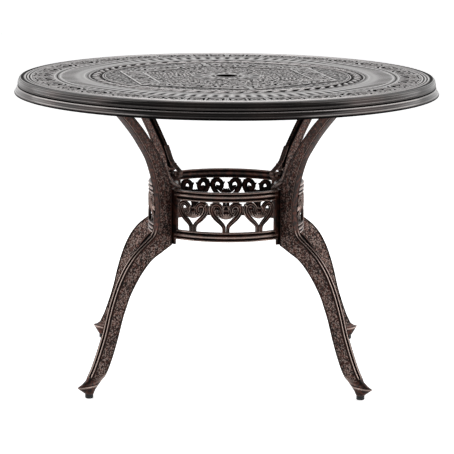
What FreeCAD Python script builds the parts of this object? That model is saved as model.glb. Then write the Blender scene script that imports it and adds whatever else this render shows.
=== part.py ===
"""Round cast-metal garden table with a pole hole, four curved legs and a stretcher ring.

Millimetres. +Z is up and the origin is on the floor under the middle of the tabletop.
Each leg stands on a diagonal. A leg is drawn in its own radial plane, with X outwards,
and then turned to its place.
"""
import FreeCAD, Part
import math
import os
from FreeCAD import Vector

# Overall sizes
TABLE_HEIGHT = 740.0
TOP_DIAMETER = 1050.0

# Tabletop casting
TOP_THICKNESS = 6.0
POLE_HOLE_RADIUS = 26.0

# Rim: cast band welded round the tabletop
RIM_TOP_WIDTH = 6.0
RIM_OVERHANG = 14.0
RIM_HEIGHT = 41.0
RIM_WALL = 7.0
RIM_GROOVE_DEPTH = 2.8
RIM_GROOVE_DROP = 20.5
RIM_WIDEST_RISE = 4.5
RIM_LIP_TUCK = 6.0

# Pierced scroll border
BORDER_REPEATS = 30
BORDER_INSET = 37.0
BORDER_WIDTH = 60.0

# Rings inside the border: flutes and a rope of leaves, both lower than the smooth ring beside them
FLUTE_OUTER = 409.5
FLUTE_INNER = 354.5
FLUTE_DEPTH = 0.8
LEAF_RING_OUTER = 338.0
LEAF_RING_INNER = 309.0
LEAF_RING_DEPTH = 1.0

# Hexagon medallion: smooth segments, a pierced frame and a woven ground with six ropes
MEDALLION_RADIUS = 299.0
SEGMENT_DEPTH = 1.4
HEX_CORNER_DEG = 43.0
HEX_HALF_WIDTH = 246.0
HEX_BAND_WIDTH = 59.5
HEX_BAND_DEPTH = 0.9
HEX_BEAD_WIDTH = 8.0
HEX_EYE_RADIUS = 4.5
HEX_EYE_RISE = 8.0
HEX_EYE_PLACES = (20.0, -61.0, 95.0)
GROUND_DEPTH = 1.8
ROPE_WIDTH = 11.0

# Hub round the pole hole
HUB_RADIUS = 84.0
HUB_BEAD_WIDTH = 4.0
HUB_DEPTH = 1.2
HUB_SLOTS = 12
HUB_SLOT_RADIUS = 53.0
HUB_SLOT_LENGTH = 15.0
HUB_SLOT_WIDTH = 6.0

# Collar under the pole hole
COLLAR_WALL = 7.0
COLLAR_DEPTH = 18.0

# Leg mounting pads cast under the tabletop, and the flange on each leg
PAD_RADIUS = 389.0
PAD_LENGTH = 64.0
PAD_WIDTH = 62.0
PAD_THICKNESS = 14.0
FLANGE_THICKNESS = 8.0

# Legs
LEG_ANGLES = {"front_left": 225.0, "front_right": 315.0, "back_right": 45.0, "back_left": 135.0}
LEG_TOP_DEPTH = 36.0
LEG_TOP_WIDTH = 23.5
LEG_LOWER_WIDTH = 19.0
LEG_RING_DEPTH = 45.0
LEG_HEEL_DROP = 16.0
FOOT_RADIUS = 460.0
FOOT_BOSS_RADIUS = 11.0
FOOT_BOSS_HEIGHT = 36.0
TOE_LENGTH = 37.0
TOE_LIFT = 29.5
FOOT_RIM_WIDTH = 26.0
SCROLL_RADIUS = 10.0
SCROLL_WIDTH = 15.0
SCROLL_INSET = 21.0
SCROLL_DROP = 5.0
SCROLL_ROOT_HEIGHT = 12.0
SCROLL_GAP = 1.0

# Stretcher ring made of four curved panels
RING_OUTER_RADIUS = 193.0
RING_THICKNESS = 6.0
RING_BOTTOM = 356.0
RING_HEIGHT = 122.0
RING_RAIL_HEIGHT = 24.0
RING_RAIL_PROUD = 1.5
PANEL_ANGLES = {"front": 270.0, "right": 0.0, "back": 90.0, "left": 180.0}
PANEL_GAP = 1.0
PANEL_END_STRIP = 15.0
PANEL_POST_WIDTH = 7.0
PANEL_STRIP_DROP = 14.0
HEARTS = 3
HEART_PITCH_DEG = 25.0
HEART_STEM_WIDTH = 18.0
HEART_BAND_WIDTH = 15.5
HEART_TEE_WIDTH = 22.0
HEART_TEE_STEM = 8.0

# Plates behind the legs that clamp the panel ends
JOINT_PLATE_THICKNESS = 4.0
JOINT_PLATE_WIDTH = 26.0
JOINT_PLATE_MARGIN = 6.0

# Fasteners
TOP_BOLT_RADIUS = 4.0
TOP_BOLT_SPACING = 41.0
TOP_BOLT_BITE = 10.0
RING_BOLT_RADIUS = 3.0
RING_BOLT_SPACING = 66.0
RING_BOLT_BITE = 16.0
BOLT_CLEARANCE = 0.4
THREAD_CLEARANCE = 0.05
HOLE_END_CLEARANCE = 2.0
WASHER_THICKNESS = 1.6
CURVED_SEAT_GAP = 0.15

# Levelling glides
GLIDE_FOOT_RADIUS = 10.0
GLIDE_FOOT_HEIGHT = 10.0
GLIDE_BEVEL = 1.5
GLIDE_STUD_RADIUS = 4.0
GLIDE_STUD_LENGTH = 34.0
GLIDE_STUD_SEAT = 6.0
GLIDE_GAP = 0.4
RUNNING_CLEARANCE = 0.05

# Places worked out from the sizes above
TOP_RADIUS = TOP_DIAMETER / 2
PLATE_RADIUS = TOP_RADIUS - RIM_OVERHANG - RIM_TOP_WIDTH
PLATE_BOTTOM = TABLE_HEIGHT - TOP_THICKNESS
RIM_BOTTOM = TABLE_HEIGHT - RIM_HEIGHT
PAD_BOTTOM = PLATE_BOTTOM - PAD_THICKNESS
FLANGE_BOTTOM = PAD_BOTTOM - FLANGE_THICKNESS
RING_TOP = RING_BOTTOM + RING_HEIGHT
RING_INNER_RADIUS = RING_OUTER_RADIUS - RING_THICKNESS
RING_MIDDLE = RING_BOTTOM + RING_HEIGHT / 2
LEG_HEEL = RING_BOTTOM - LEG_HEEL_DROP
FOOT_BOTTOM = GLIDE_FOOT_HEIGHT + GLIDE_GAP
STUD_BOTTOM = GLIDE_FOOT_HEIGHT - GLIDE_STUD_SEAT
STUD_TOP = STUD_BOTTOM + GLIDE_STUD_LENGTH
JOINT_PLATE_INNER = RING_INNER_RADIUS - JOINT_PLATE_THICKNESS
TOP_BOLT_PLACES = [(PAD_RADIUS, side * TOP_BOLT_SPACING / 2) for side in (-1, 1)]
RING_BOLT_HEIGHTS = [RING_MIDDLE + side * RING_BOLT_SPACING / 2 for side in (-1, 1)]

Z_AXIS = Vector(0, 0, 1)
X_AXIS = Vector(1, 0, 0)
ORIGIN = Vector(0, 0, 0)


def turned(shape, degrees):
    """A copy of the shape turned about the table's middle."""
    copy = shape.copy()
    copy.rotate(ORIGIN, Z_AXIS, degrees)
    return copy


def upright_cylinder(radius, height, x, y, z):
    return Part.makeCylinder(radius, height, Vector(x, y, z), Z_AXIS)


def outward_cylinder(radius, length, start_radius, z):
    """A cylinder that points away from the table's middle along X."""
    return Part.makeCylinder(radius, length, Vector(start_radius, 0, z), X_AXIS)


def block(length, width, height, middle_radius, z):
    """A block centred on the X axis at a radius, standing on a height."""
    corner = Vector(middle_radius - length / 2, -width / 2, z)
    return Part.makeBox(length, width, height, corner)


def curved_plate(inner, outer, bottom, top, half_degrees):
    """A piece of a tube, centred on the X axis."""
    corners = [(inner, bottom), (outer, bottom), (outer, top), (inner, top)]
    points = [Vector(r, 0, z) for r, z in corners]
    face = Part.Face(Part.makePolygon(points + points[:1]))
    face.rotate(ORIGIN, Z_AXIS, -half_degrees)
    return face.revolve(ORIGIN, Z_AXIS, 2 * half_degrees)


def hexagon_head(across_flats, height, base, direction):
    """A bolt head that grows from a base point along a direction."""
    corner_radius = across_flats / math.sqrt(3)
    side = direction.cross(Vector(0, 1, 0)).normalize()
    points = []
    for step in range(6):
        arm = FreeCAD.Rotation(direction, 60 * step).multVec(side)
        points.append(base + arm * corner_radius)
    return Part.Face(Part.makePolygon(points + points[:1])).extrude(direction * height)


def smooth_edge(points):
    """One smooth curve through points given as radius and height."""
    curve = Part.BSplineCurve()
    curve.interpolate([Vector(r, 0, z) for r, z in points])
    return curve.toShape()


def straight_edge(here, there):
    return Part.makeLine(Vector(here[0], 0, here[1]), Vector(there[0], 0, there[1]))


def slot_tool(length, width, radius, bottom, height):
    """A round-ended slot that lies along the X axis, as a solid to cut with."""
    middle = block(length - width, width, height, radius, bottom)
    ends = [radius - (length - width) / 2, radius + (length - width) / 2]
    rounds = [upright_cylinder(width / 2, height, x, 0, bottom) for x in ends]
    return middle.multiFuse(rounds)


def ring_of(tool, count, first_degrees=0.0):
    return [turned(tool, first_degrees + 360.0 * step / count) for step in range(count)]


def top_disc(radius, depth):
    """A disc that reaches down from the tabletop's surface, to cut relief with."""
    return upright_cylinder(radius, depth, 0, 0, TABLE_HEIGHT - depth)


def top_ring(inner, outer, depth):
    return top_disc(outer, depth).cut(top_disc(inner, depth))


def top_hexagon(half_width, depth):
    """A hexagon that reaches down from the tabletop's surface."""
    corner = half_width / math.cos(math.pi / 6)
    points = []
    for step in range(6):
        angle = math.radians(HEX_CORNER_DEG + 60 * step)
        points.append(Vector(corner * math.cos(angle), corner * math.sin(angle), TABLE_HEIGHT - depth))
    return Part.Face(Part.makePolygon(points + points[:1])).extrude(Vector(0, 0, depth))


def border_openings():
    """Openings of one repeat of the border: each is drawn as shares of the border's width."""
    inside = TOP_RADIUS - BORDER_INSET - BORDER_WIDTH
    kites = [
        [(0.06, 0.15), (0.10, 0.40), (0.31, 0.41), (0.42, 0.49), (0.40, 0.37), (0.23, 0.25)],
        [(0.47, 0.15), (0.61, 0.38), (0.68, 0.48), (0.67, 0.37), (0.60, 0.22)],
    ]
    tools = []
    for side in (-1, 1):
        for kite in kites:
            points = [Vector(inside + up * BORDER_WIDTH, side * along * BORDER_WIDTH, PLATE_BOTTOM)
                      for along, up in kite]
            face = Part.Face(Part.makePolygon(points + points[:1]))
            tools.append(face.extrude(Vector(0, 0, TOP_THICKNESS)))
        tools.append(upright_cylinder(0.065 * BORDER_WIDTH, TOP_THICKNESS, inside + 0.68 * BORDER_WIDTH,
                                      side * 0.33 * BORDER_WIDTH, PLATE_BOTTOM))
    return Part.makeCompound(tools)


def medallion_relief():
    """Smooth segments, the frame's band and the ground, cut down into the surface."""
    inner_frame = HEX_HALF_WIDTH - HEX_BAND_WIDTH
    segments = top_disc(MEDALLION_RADIUS, SEGMENT_DEPTH).cut(top_hexagon(HEX_HALF_WIDTH, SEGMENT_DEPTH))
    band = top_hexagon(HEX_HALF_WIDTH - HEX_BEAD_WIDTH, HEX_BAND_DEPTH)
    band = band.cut(top_hexagon(inner_frame + HEX_BEAD_WIDTH, HEX_BAND_DEPTH))
    ropes = []
    for step in range(3):
        bar = block(2 * HEX_HALF_WIDTH, ROPE_WIDTH, GROUND_DEPTH, 0, TABLE_HEIGHT - GROUND_DEPTH)
        ropes.append(turned(bar, HEX_CORNER_DEG + 60 * step))
    kept = Part.makeCompound([top_disc(HUB_RADIUS, GROUND_DEPTH)] + ropes)
    ground = top_hexagon(inner_frame, GROUND_DEPTH).cut(kept)
    return [segments, band, ground]


def medallion_eyes():
    """Round openings in the middle of the hexagon's pierced frame."""
    middle = HEX_HALF_WIDTH - HEX_BAND_WIDTH / 2
    tools = []
    for place in HEX_EYE_PLACES:
        radius = middle + math.copysign(HEX_EYE_RISE, place)
        for side in (-1, 1):
            eye = upright_cylinder(HEX_EYE_RADIUS, TOP_THICKNESS, radius, side * place, PLATE_BOTTOM)
            tools.append(turned(eye, HEX_CORNER_DEG + 30))
    return Part.makeCompound(tools)


def tabletop():
    """Pierced round casting with its main relief."""
    plate = upright_cylinder(PLATE_RADIUS, TOP_THICKNESS, 0, 0, PLATE_BOTTOM)
    hub_slot = slot_tool(HUB_SLOT_LENGTH, HUB_SLOT_WIDTH, HUB_SLOT_RADIUS, PLATE_BOTTOM, TOP_THICKNESS)
    slot_outer = HUB_SLOT_RADIUS + HUB_SLOT_LENGTH / 2
    cuts = [upright_cylinder(POLE_HOLE_RADIUS, TOP_THICKNESS, 0, 0, PLATE_BOTTOM)]
    cuts += ring_of(border_openings(), BORDER_REPEATS)
    cuts += ring_of(medallion_eyes(), 6)
    cuts += ring_of(hub_slot, HUB_SLOTS)
    cuts += medallion_relief()
    cuts.append(top_ring(FLUTE_INNER, FLUTE_OUTER, FLUTE_DEPTH))
    cuts.append(top_ring(LEAF_RING_INNER, LEAF_RING_OUTER, LEAF_RING_DEPTH))
    cuts.append(top_ring(slot_outer + HUB_BEAD_WIDTH / 2, HUB_RADIUS - HUB_BEAD_WIDTH, HUB_DEPTH))
    return plate.cut(Part.makeCompound(cuts))


def rim():
    """Moulded band: a rounded edge, a groove, a hollow band that flares out, and a tucked lip."""
    edge = TOP_RADIUS - RIM_OVERHANG
    groove_height = TABLE_HEIGHT - RIM_GROOVE_DROP
    groove_top = Vector(edge + 5.5, 0, groove_height + 1.8)
    groove_base = Vector(edge + 5.5 - RIM_GROOVE_DEPTH, 0, groove_height)
    band_top = Vector(edge + 6.8, 0, groove_height - 3)
    widest = Vector(TOP_RADIUS, 0, RIM_BOTTOM + RIM_WIDEST_RISE)
    lip = Vector(TOP_RADIUS - RIM_LIP_TUCK, 0, RIM_BOTTOM)
    lip_inner = lip - Vector(RIM_WALL, 0, 0)
    wall_inner = lip_inner + Vector(0, 0, RIM_HEIGHT / 3)
    weld_foot = Vector(PLATE_RADIUS, 0, PLATE_BOTTOM)
    inner_top = Vector(PLATE_RADIUS, 0, TABLE_HEIGHT)
    outer_top = Vector(edge, 0, TABLE_HEIGHT)
    shoulder = Vector(edge + 4.2, 0, TABLE_HEIGHT - 8)
    hollow = Vector((band_top.x + widest.x) / 2 - 1, 0, (band_top.z + widest.z) / 2)
    tuck = Vector(TOP_RADIUS - 1.2, 0, RIM_BOTTOM + RIM_WIDEST_RISE / 3)
    edges = [
        Part.Arc(outer_top, shoulder, groove_top).toShape(),
        Part.makeLine(groove_top, groove_base),
        Part.makeLine(groove_base, band_top),
        Part.Arc(band_top, hollow, widest).toShape(),
        Part.Arc(widest, tuck, lip).toShape(),
        Part.makeLine(lip, lip_inner),
        Part.makeLine(lip_inner, wall_inner),
        Part.makeLine(wall_inner, weld_foot),
        Part.makeLine(weld_foot, inner_top),
        Part.makeLine(inner_top, outer_top),
    ]
    return Part.Face(Part.Wire(edges)).revolve(ORIGIN, Z_AXIS, 360)


def umbrella_collar():
    """Short sleeve that carries on the pole hole under the tabletop."""
    bottom = PLATE_BOTTOM - COLLAR_DEPTH
    sleeve = upright_cylinder(POLE_HOLE_RADIUS + COLLAR_WALL, COLLAR_DEPTH, 0, 0, bottom)
    return sleeve.cut(upright_cylinder(POLE_HOLE_RADIUS, COLLAR_DEPTH, 0, 0, bottom))


def leg_pad():
    """Boss under the tabletop with blind threaded holes."""
    pad = block(PAD_LENGTH, PAD_WIDTH, PAD_THICKNESS, PAD_RADIUS, PAD_BOTTOM)
    depth = TOP_BOLT_BITE + HOLE_END_CLEARANCE
    radius = TOP_BOLT_RADIUS + THREAD_CLEARANCE
    holes = [upright_cylinder(radius, depth, x, y, PAD_BOTTOM) for x, y in TOP_BOLT_PLACES]
    return pad.cut(Part.makeCompound(holes))


def below_ring(outward, upward):
    """A place between the sole at the ring's radius (0, 0) and the leg's heel above the foot (1, 1)."""
    radius = RING_OUTER_RADIUS + outward * (FOOT_RADIUS - RING_OUTER_RADIUS)
    return radius, FOOT_BOTTOM + upward * (LEG_HEEL - FOOT_BOTTOM)


def above_ring(outward, upward):
    """A place between the ring's top edge (0, 0) and the flange's middle (1, 1)."""
    radius = RING_OUTER_RADIUS + outward * (PAD_RADIUS - RING_OUTER_RADIUS)
    return radius, RING_TOP + upward * (FLANGE_BOTTOM - RING_TOP)


def leg_outline():
    """The leg's side view: outer edge, toe, sole, inner curve, straight back and inner top."""
    ring = RING_OUTER_RADIUS
    belly = ring + LEG_RING_DEPTH
    toe = (FOOT_RADIUS + TOE_LENGTH, TOE_LIFT)
    sole_front = (FOOT_RADIUS + FOOT_BOSS_RADIUS, FOOT_BOTTOM)
    sole_back = (FOOT_RADIUS - FOOT_BOSS_RADIUS, FOOT_BOTTOM)
    heel = (ring, LEG_HEEL)
    back_top = (ring, RING_TOP - 0.115 * RING_HEIGHT)
    top_outer = (PAD_RADIUS + LEG_TOP_DEPTH / 2, FLANGE_BOTTOM)
    top_inner = (PAD_RADIUS - LEG_TOP_DEPTH / 2, FLANGE_BOTTOM)
    outer = [top_outer, above_ring(0.65, 0.64), above_ring(0.38, 0.33), (belly, RING_TOP - 0.213 * RING_HEIGHT),
             (ring + 1.09 * LEG_RING_DEPTH, RING_BOTTOM + 0.28 * RING_HEIGHT),
             (ring + 1.64 * LEG_RING_DEPTH, RING_BOTTOM + 0.016 * RING_HEIGHT), below_ring(0.65, 0.76),
             below_ring(0.81, 0.43), below_ring(0.91, 0.24), below_ring(0.99, 0.135), toe]
    sole = [toe, (FOOT_RADIUS + 0.7 * TOE_LENGTH, FOOT_BOTTOM + 0.3 * TOE_LIFT), sole_front]
    inner = [sole_back, below_ring(0.885, 0.05), below_ring(0.755, 0.21), below_ring(0.637, 0.466),
             below_ring(0.536, 0.64), below_ring(0.356, 0.84), below_ring(0.13, 0.955), heel]
    inner_top = [back_top, above_ring(0.10, 0.22), above_ring(0.29, 0.46), above_ring(0.63, 0.79), top_inner]
    edges = [
        smooth_edge(outer),
        smooth_edge(sole),
        straight_edge(sole_front, sole_back),
        smooth_edge(inner),
        straight_edge(heel, back_top),
        smooth_edge(inner_top),
        straight_edge(top_inner, top_outer),
    ]
    return Part.Face(Part.Wire(edges))


def leg_width_limit():
    """A tall wedge that makes the leg wider towards the tabletop."""
    low = LEG_LOWER_WIDTH / 2
    high = LEG_TOP_WIDTH / 2
    half = [(low, 0), (low, RING_TOP), (high, TABLE_HEIGHT)]
    points = [Vector(0, y, z) for y, z in half]
    points += [Vector(0, -y, z) for y, z in reversed(half)]
    face = Part.Face(Part.makePolygon(points + points[:1]))
    return face.extrude(Vector(TOP_DIAMETER, 0, 0))


def foot_cup():
    """Cup of the foot: it widens from the round boss to an oval rim with the toe at its tip."""
    half_length = (TOE_LENGTH + FOOT_BOSS_RADIUS + LEG_LOWER_WIDTH) / 2
    centre = Vector(FOOT_RADIUS + TOE_LENGTH - half_length, 0, TOE_LIFT)
    rim_edge = Part.Ellipse(centre + Vector(half_length, 0, 0), centre + Vector(0, FOOT_RIM_WIDTH / 2, 0), centre)
    sole = Part.Circle(Vector(FOOT_RADIUS, 0, FOOT_BOTTOM), Z_AXIS, FOOT_BOSS_RADIUS)
    crown_centre = Vector(FOOT_RADIUS - FOOT_BOSS_RADIUS, 0, FOOT_BOTTOM + FOOT_BOSS_HEIGHT)
    crown = Part.Circle(crown_centre, Z_AXIS, LEG_LOWER_WIDTH / 2)
    wires = [Part.Wire(curve.toShape()) for curve in (sole, rim_edge, crown)]
    lower = Part.makeLoft(wires[:2], True, True)
    upper = Part.makeLoft(wires[1:], True, True)
    return lower.fuse(upper)


def scroll():
    """Rolled scroll that hooks over the ring's top edge, and the root that carries it off the leg."""
    eye = Vector(RING_OUTER_RADIUS - SCROLL_INSET, -SCROLL_WIDTH / 2, RING_TOP - SCROLL_DROP)
    roll = Part.makeCylinder(SCROLL_RADIUS, SCROLL_WIDTH, eye, Vector(0, 1, 0))
    root_start = eye.x - SCROLL_RADIUS / 2
    root_length = RING_OUTER_RADIUS + LEG_RING_DEPTH / 2 - root_start
    root = block(root_length, SCROLL_WIDTH, SCROLL_ROOT_HEIGHT, root_start + root_length / 2, RING_TOP + SCROLL_GAP)
    return roll.fuse(root)


def leg():
    """One curved casting with a flange on top, a round boss in the foot and tapped holes."""
    outline = leg_outline()
    outline.translate(Vector(0, -LEG_TOP_WIDTH, 0))
    board = outline.extrude(Vector(0, 2 * LEG_TOP_WIDTH, 0)).common(leg_width_limit())
    flange = block(PAD_LENGTH, PAD_WIDTH, FLANGE_THICKNESS, PAD_RADIUS, FLANGE_BOTTOM)
    boss = upright_cylinder(FOOT_BOSS_RADIUS, FOOT_BOSS_HEIGHT, FOOT_RADIUS, 0, FOOT_BOTTOM)
    body = board.multiFuse([flange, boss, foot_cup(), scroll()])
    cuts = []
    for x, y in TOP_BOLT_PLACES:
        cuts.append(upright_cylinder(TOP_BOLT_RADIUS + BOLT_CLEARANCE, FLANGE_THICKNESS, x, y, FLANGE_BOTTOM))
    for z in RING_BOLT_HEIGHTS:
        depth = RING_BOLT_BITE + HOLE_END_CLEARANCE
        cuts.append(outward_cylinder(RING_BOLT_RADIUS + THREAD_CLEARANCE, depth, RING_OUTER_RADIUS, z))
    socket_depth = STUD_TOP + HOLE_END_CLEARANCE - FOOT_BOTTOM
    cuts.append(upright_cylinder(GLIDE_STUD_RADIUS + RUNNING_CLEARANCE, socket_depth, FOOT_RADIUS, 0,
                                 FOOT_BOTTOM))
    return body.cut(Part.makeCompound(cuts)).removeSplitter()


def ring_tool(outline, degrees):
    """A solid that cuts one opening through the ring, from edges drawn as sideways and height."""
    start = RING_INNER_RADIUS - 2 * RING_RAIL_PROUD
    end = RING_OUTER_RADIUS + 2 * RING_RAIL_PROUD
    face = Part.Face(Part.Wire(outline))
    face.translate(Vector(start, 0, 0))
    return turned(face.extrude(Vector(end - start, 0, 0)), degrees)


def joined(points):
    """Straight edges through points given as sideways and height, and back to the first."""
    corners = [Vector(0, y, z) for y, z in points]
    return [Part.makeLine(here, there) for here, there in zip(corners, corners[1:] + corners[:1])]


def oval(sideways, z, half_width, half_height):
    """An upright oval."""
    centre = Vector(0, sideways, z)
    return [Part.Ellipse(centre + Vector(0, 0, half_height), centre + Vector(0, half_width, 0), centre).toShape()]


def bowed_triangle(half_base, base, apex, bow):
    """A triangle on a level base whose sides bow inwards."""
    left = Vector(0, -half_base, base)
    right = Vector(0, half_base, base)
    top = Vector(0, 0, apex)
    right_middle = Vector(0, half_base / 2 - bow, (base + apex) / 2 - bow)
    left_middle = Vector(0, bow - half_base / 2, (base + apex) / 2 - bow)
    return [Part.makeLine(left, right), Part.Arc(right, right_middle, top).toShape(),
            Part.Arc(top, left_middle, left).toShape()]


def panel_openings():
    """Openings in each heart, and the gaps between hearts, stems and posts."""
    low = RING_BOTTOM + RING_RAIL_HEIGHT
    high = RING_TOP - RING_RAIL_HEIGHT
    heart_half = RING_OUTER_RADIUS * math.radians(HEART_PITCH_DEG / 2)
    deep = high - low
    stem_half = HEART_STEM_WIDTH / 2
    tee_half = HEART_TEE_WIDTH / 2
    bar_half = HEART_TEE_STEM / 2
    tools = []
    for index in range(HEARTS):
        middle = (index - (HEARTS - 1) / 2) * HEART_PITCH_DEG
        tee_right = [(tee_half, 0.97), (tee_half, 0.89), (bar_half, 0.85), (bar_half, 0.65)]
        tee = tee_right + [(-sideways, height) for sideways, height in reversed(tee_right)]
        tee = [(sideways, low + height * deep) for sideways, height in tee]
        tools.append(ring_tool(joined(tee), middle))
        chin_half = heart_half - 2 * HEART_BAND_WIDTH
        chin = [(0, low + 0.27 * deep), (chin_half, low + 0.5 * deep), (0, low + 0.45 * deep),
                (-chin_half, low + 0.5 * deep)]
        tools.append(ring_tool(joined(chin), middle))
        for side in (-1, 1):
            lobe = oval(side * (heart_half - HEART_BAND_WIDTH) * 0.72, high - 0.27 * deep, 0.055 * deep, 0.12 * deep)
            tools.append(ring_tool(lobe, middle))
    for index in range(HEARTS + 1):
        gap = (index - HEARTS / 2) * HEART_PITCH_DEG
        triangle = bowed_triangle(heart_half - stem_half, low, low + 0.55 * deep, 0.04 * deep)
        notch_half = stem_half * 0.9
        notch = [(0, low + 0.89 * deep), (notch_half, low + 0.985 * deep), (-notch_half, low + 0.985 * deep)]
        tools.append(ring_tool(triangle, gap))
        tools.append(ring_tool(joined(notch), gap))
    return tools


def ring_panel():
    """One curved pierced panel with two rails and two end posts, centred on the X axis."""
    quarter = 45.0
    end_angle = quarter - math.degrees(PANEL_GAP / 2 / RING_OUTER_RADIUS)
    rail_angle = quarter - math.degrees(PANEL_END_STRIP / RING_OUTER_RADIUS)
    post_angle = math.degrees(PANEL_POST_WIDTH / RING_OUTER_RADIUS)
    strip_half = (end_angle - rail_angle) / 2
    plate = curved_plate(RING_INNER_RADIUS, RING_OUTER_RADIUS, RING_BOTTOM, RING_TOP, rail_angle)
    plate = plate.cut(Part.makeCompound(panel_openings()))
    inner = RING_INNER_RADIUS - RING_RAIL_PROUD
    outer = RING_OUTER_RADIUS + RING_RAIL_PROUD
    frame = []
    for bottom in (RING_BOTTOM, RING_TOP - RING_RAIL_HEIGHT):
        frame.append(curved_plate(inner, outer, bottom, bottom + RING_RAIL_HEIGHT, rail_angle))
    for side in (-1, 1):
        post = curved_plate(inner, outer, RING_BOTTOM, RING_TOP, post_angle / 2)
        frame.append(turned(post, side * (rail_angle - post_angle / 2)))
        strip = curved_plate(RING_INNER_RADIUS, RING_OUTER_RADIUS, RING_BOTTOM - PANEL_STRIP_DROP, RING_TOP,
                             strip_half)
        frame.append(turned(strip, side * (rail_angle + strip_half)))
    panel = plate.multiFuse(frame)
    notches = []
    for side in (-1, 1):
        for z in RING_BOLT_HEIGHTS:
            hole = outward_cylinder(RING_BOLT_RADIUS + BOLT_CLEARANCE, 2 * RING_THICKNESS,
                                    RING_INNER_RADIUS - RING_THICKNESS / 2, z)
            notches.append(turned(hole, side * quarter))
    return panel.cut(Part.makeCompound(notches)).removeSplitter()


def joint_plate():
    """Curved plate behind a leg that clamps two panel ends."""
    half_angle = math.degrees(JOINT_PLATE_WIDTH / 2 / RING_INNER_RADIUS)
    plate = curved_plate(JOINT_PLATE_INNER, RING_INNER_RADIUS, RING_BOTTOM + JOINT_PLATE_MARGIN,
                         RING_TOP - JOINT_PLATE_MARGIN, half_angle)
    holes = []
    for z in RING_BOLT_HEIGHTS:
        holes.append(outward_cylinder(RING_BOLT_RADIUS + BOLT_CLEARANCE, 2 * JOINT_PLATE_THICKNESS,
                                      JOINT_PLATE_INNER - JOINT_PLATE_THICKNESS / 2, z))
    return plate.cut(Part.makeCompound(holes))


def washer(bolt_radius, base, direction):
    """Flat ring that grows from a base point along a direction."""
    outside = Part.makeCylinder(2 * bolt_radius, WASHER_THICKNESS, base, direction)
    return outside.cut(Part.makeCylinder(bolt_radius + BOLT_CLEARANCE, WASHER_THICKNESS, base, direction))


def bolt(radius, length, base, direction):
    """Hexagon bolt: the shank runs along the direction and the head sits behind the base point."""
    head = hexagon_head(3.25 * radius, 1.3 * radius, base, direction * -1)
    return head.fuse(Part.makeCylinder(radius, length, base, direction)).removeSplitter()


def top_fasteners():
    """Bolts that go up through the leg's flange into the pad, and their washers."""
    bolts = []
    washers = []
    for x, y in TOP_BOLT_PLACES:
        seat = Vector(x, y, FLANGE_BOTTOM - WASHER_THICKNESS)
        washers.append(washer(TOP_BOLT_RADIUS, seat, Z_AXIS))
        length = WASHER_THICKNESS + FLANGE_THICKNESS + TOP_BOLT_BITE
        bolts.append(bolt(TOP_BOLT_RADIUS, length, seat, Z_AXIS))
    return Part.makeCompound(bolts), Part.makeCompound(washers)


def ring_fasteners():
    """Bolts that go outwards through the joint plate into the leg, and their washers."""
    bolts = []
    washers = []
    for z in RING_BOLT_HEIGHTS:
        seat = Vector(JOINT_PLATE_INNER - CURVED_SEAT_GAP - WASHER_THICKNESS, 0, z)
        washers.append(washer(RING_BOLT_RADIUS, seat, X_AXIS))
        length = RING_OUTER_RADIUS + RING_BOLT_BITE - seat.x
        bolts.append(bolt(RING_BOLT_RADIUS, length, seat, X_AXIS))
    return Part.makeCompound(bolts), Part.makeCompound(washers)


def glide_stud():
    """Plain core of the threaded stud that screws into the foot."""
    return upright_cylinder(GLIDE_STUD_RADIUS, GLIDE_STUD_LENGTH, FOOT_RADIUS, 0, STUD_BOTTOM)


def glide_foot():
    """Round foot that turns on the stud, with a bevelled tread."""
    straight = upright_cylinder(GLIDE_FOOT_RADIUS, GLIDE_FOOT_HEIGHT - GLIDE_BEVEL, FOOT_RADIUS, 0, GLIDE_BEVEL)
    tread = Part.makeCone(GLIDE_FOOT_RADIUS - GLIDE_BEVEL, GLIDE_FOOT_RADIUS, GLIDE_BEVEL,
                          Vector(FOOT_RADIUS, 0, 0), Z_AXIS)
    socket_bottom = STUD_BOTTOM - GLIDE_GAP
    socket = upright_cylinder(GLIDE_STUD_RADIUS + RUNNING_CLEARANCE, GLIDE_FOOT_HEIGHT - socket_bottom,
                              FOOT_RADIUS, 0, socket_bottom)
    return straight.fuse(tread).cut(socket).removeSplitter()


def write(name, shape):
    shape.exportStep("parts/" + name + ".step")
    print(name, "solids", len(shape.Solids), "valid", shape.isValid(), "cm3", round(shape.Volume / 1000, 1))


def main():
    os.makedirs("parts", exist_ok=True)
    write("tabletop", tabletop())
    write("rim", rim())
    write("umbrella_collar", umbrella_collar())
    top_bolts, top_washers = top_fasteners()
    ring_bolts, ring_washers = ring_fasteners()
    per_leg = {
        "leg": leg(),
        "leg_pad": leg_pad(),
        "top_bolts": top_bolts,
        "top_washers": top_washers,
        "joint_plate": joint_plate(),
        "ring_bolts": ring_bolts,
        "ring_washers": ring_washers,
        "glide_stud": glide_stud(),
        "glide_foot": glide_foot(),
    }
    for place, degrees in LEG_ANGLES.items():
        for name, shape in per_leg.items():
            write(name + "_" + place, turned(shape, degrees))
    panel = ring_panel()
    for place, degrees in PANEL_ANGLES.items():
        write("ring_panel_" + place, turned(panel, degrees))


main()
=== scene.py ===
import math

import bpy
from mathutils import Matrix, Vector, noise


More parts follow.
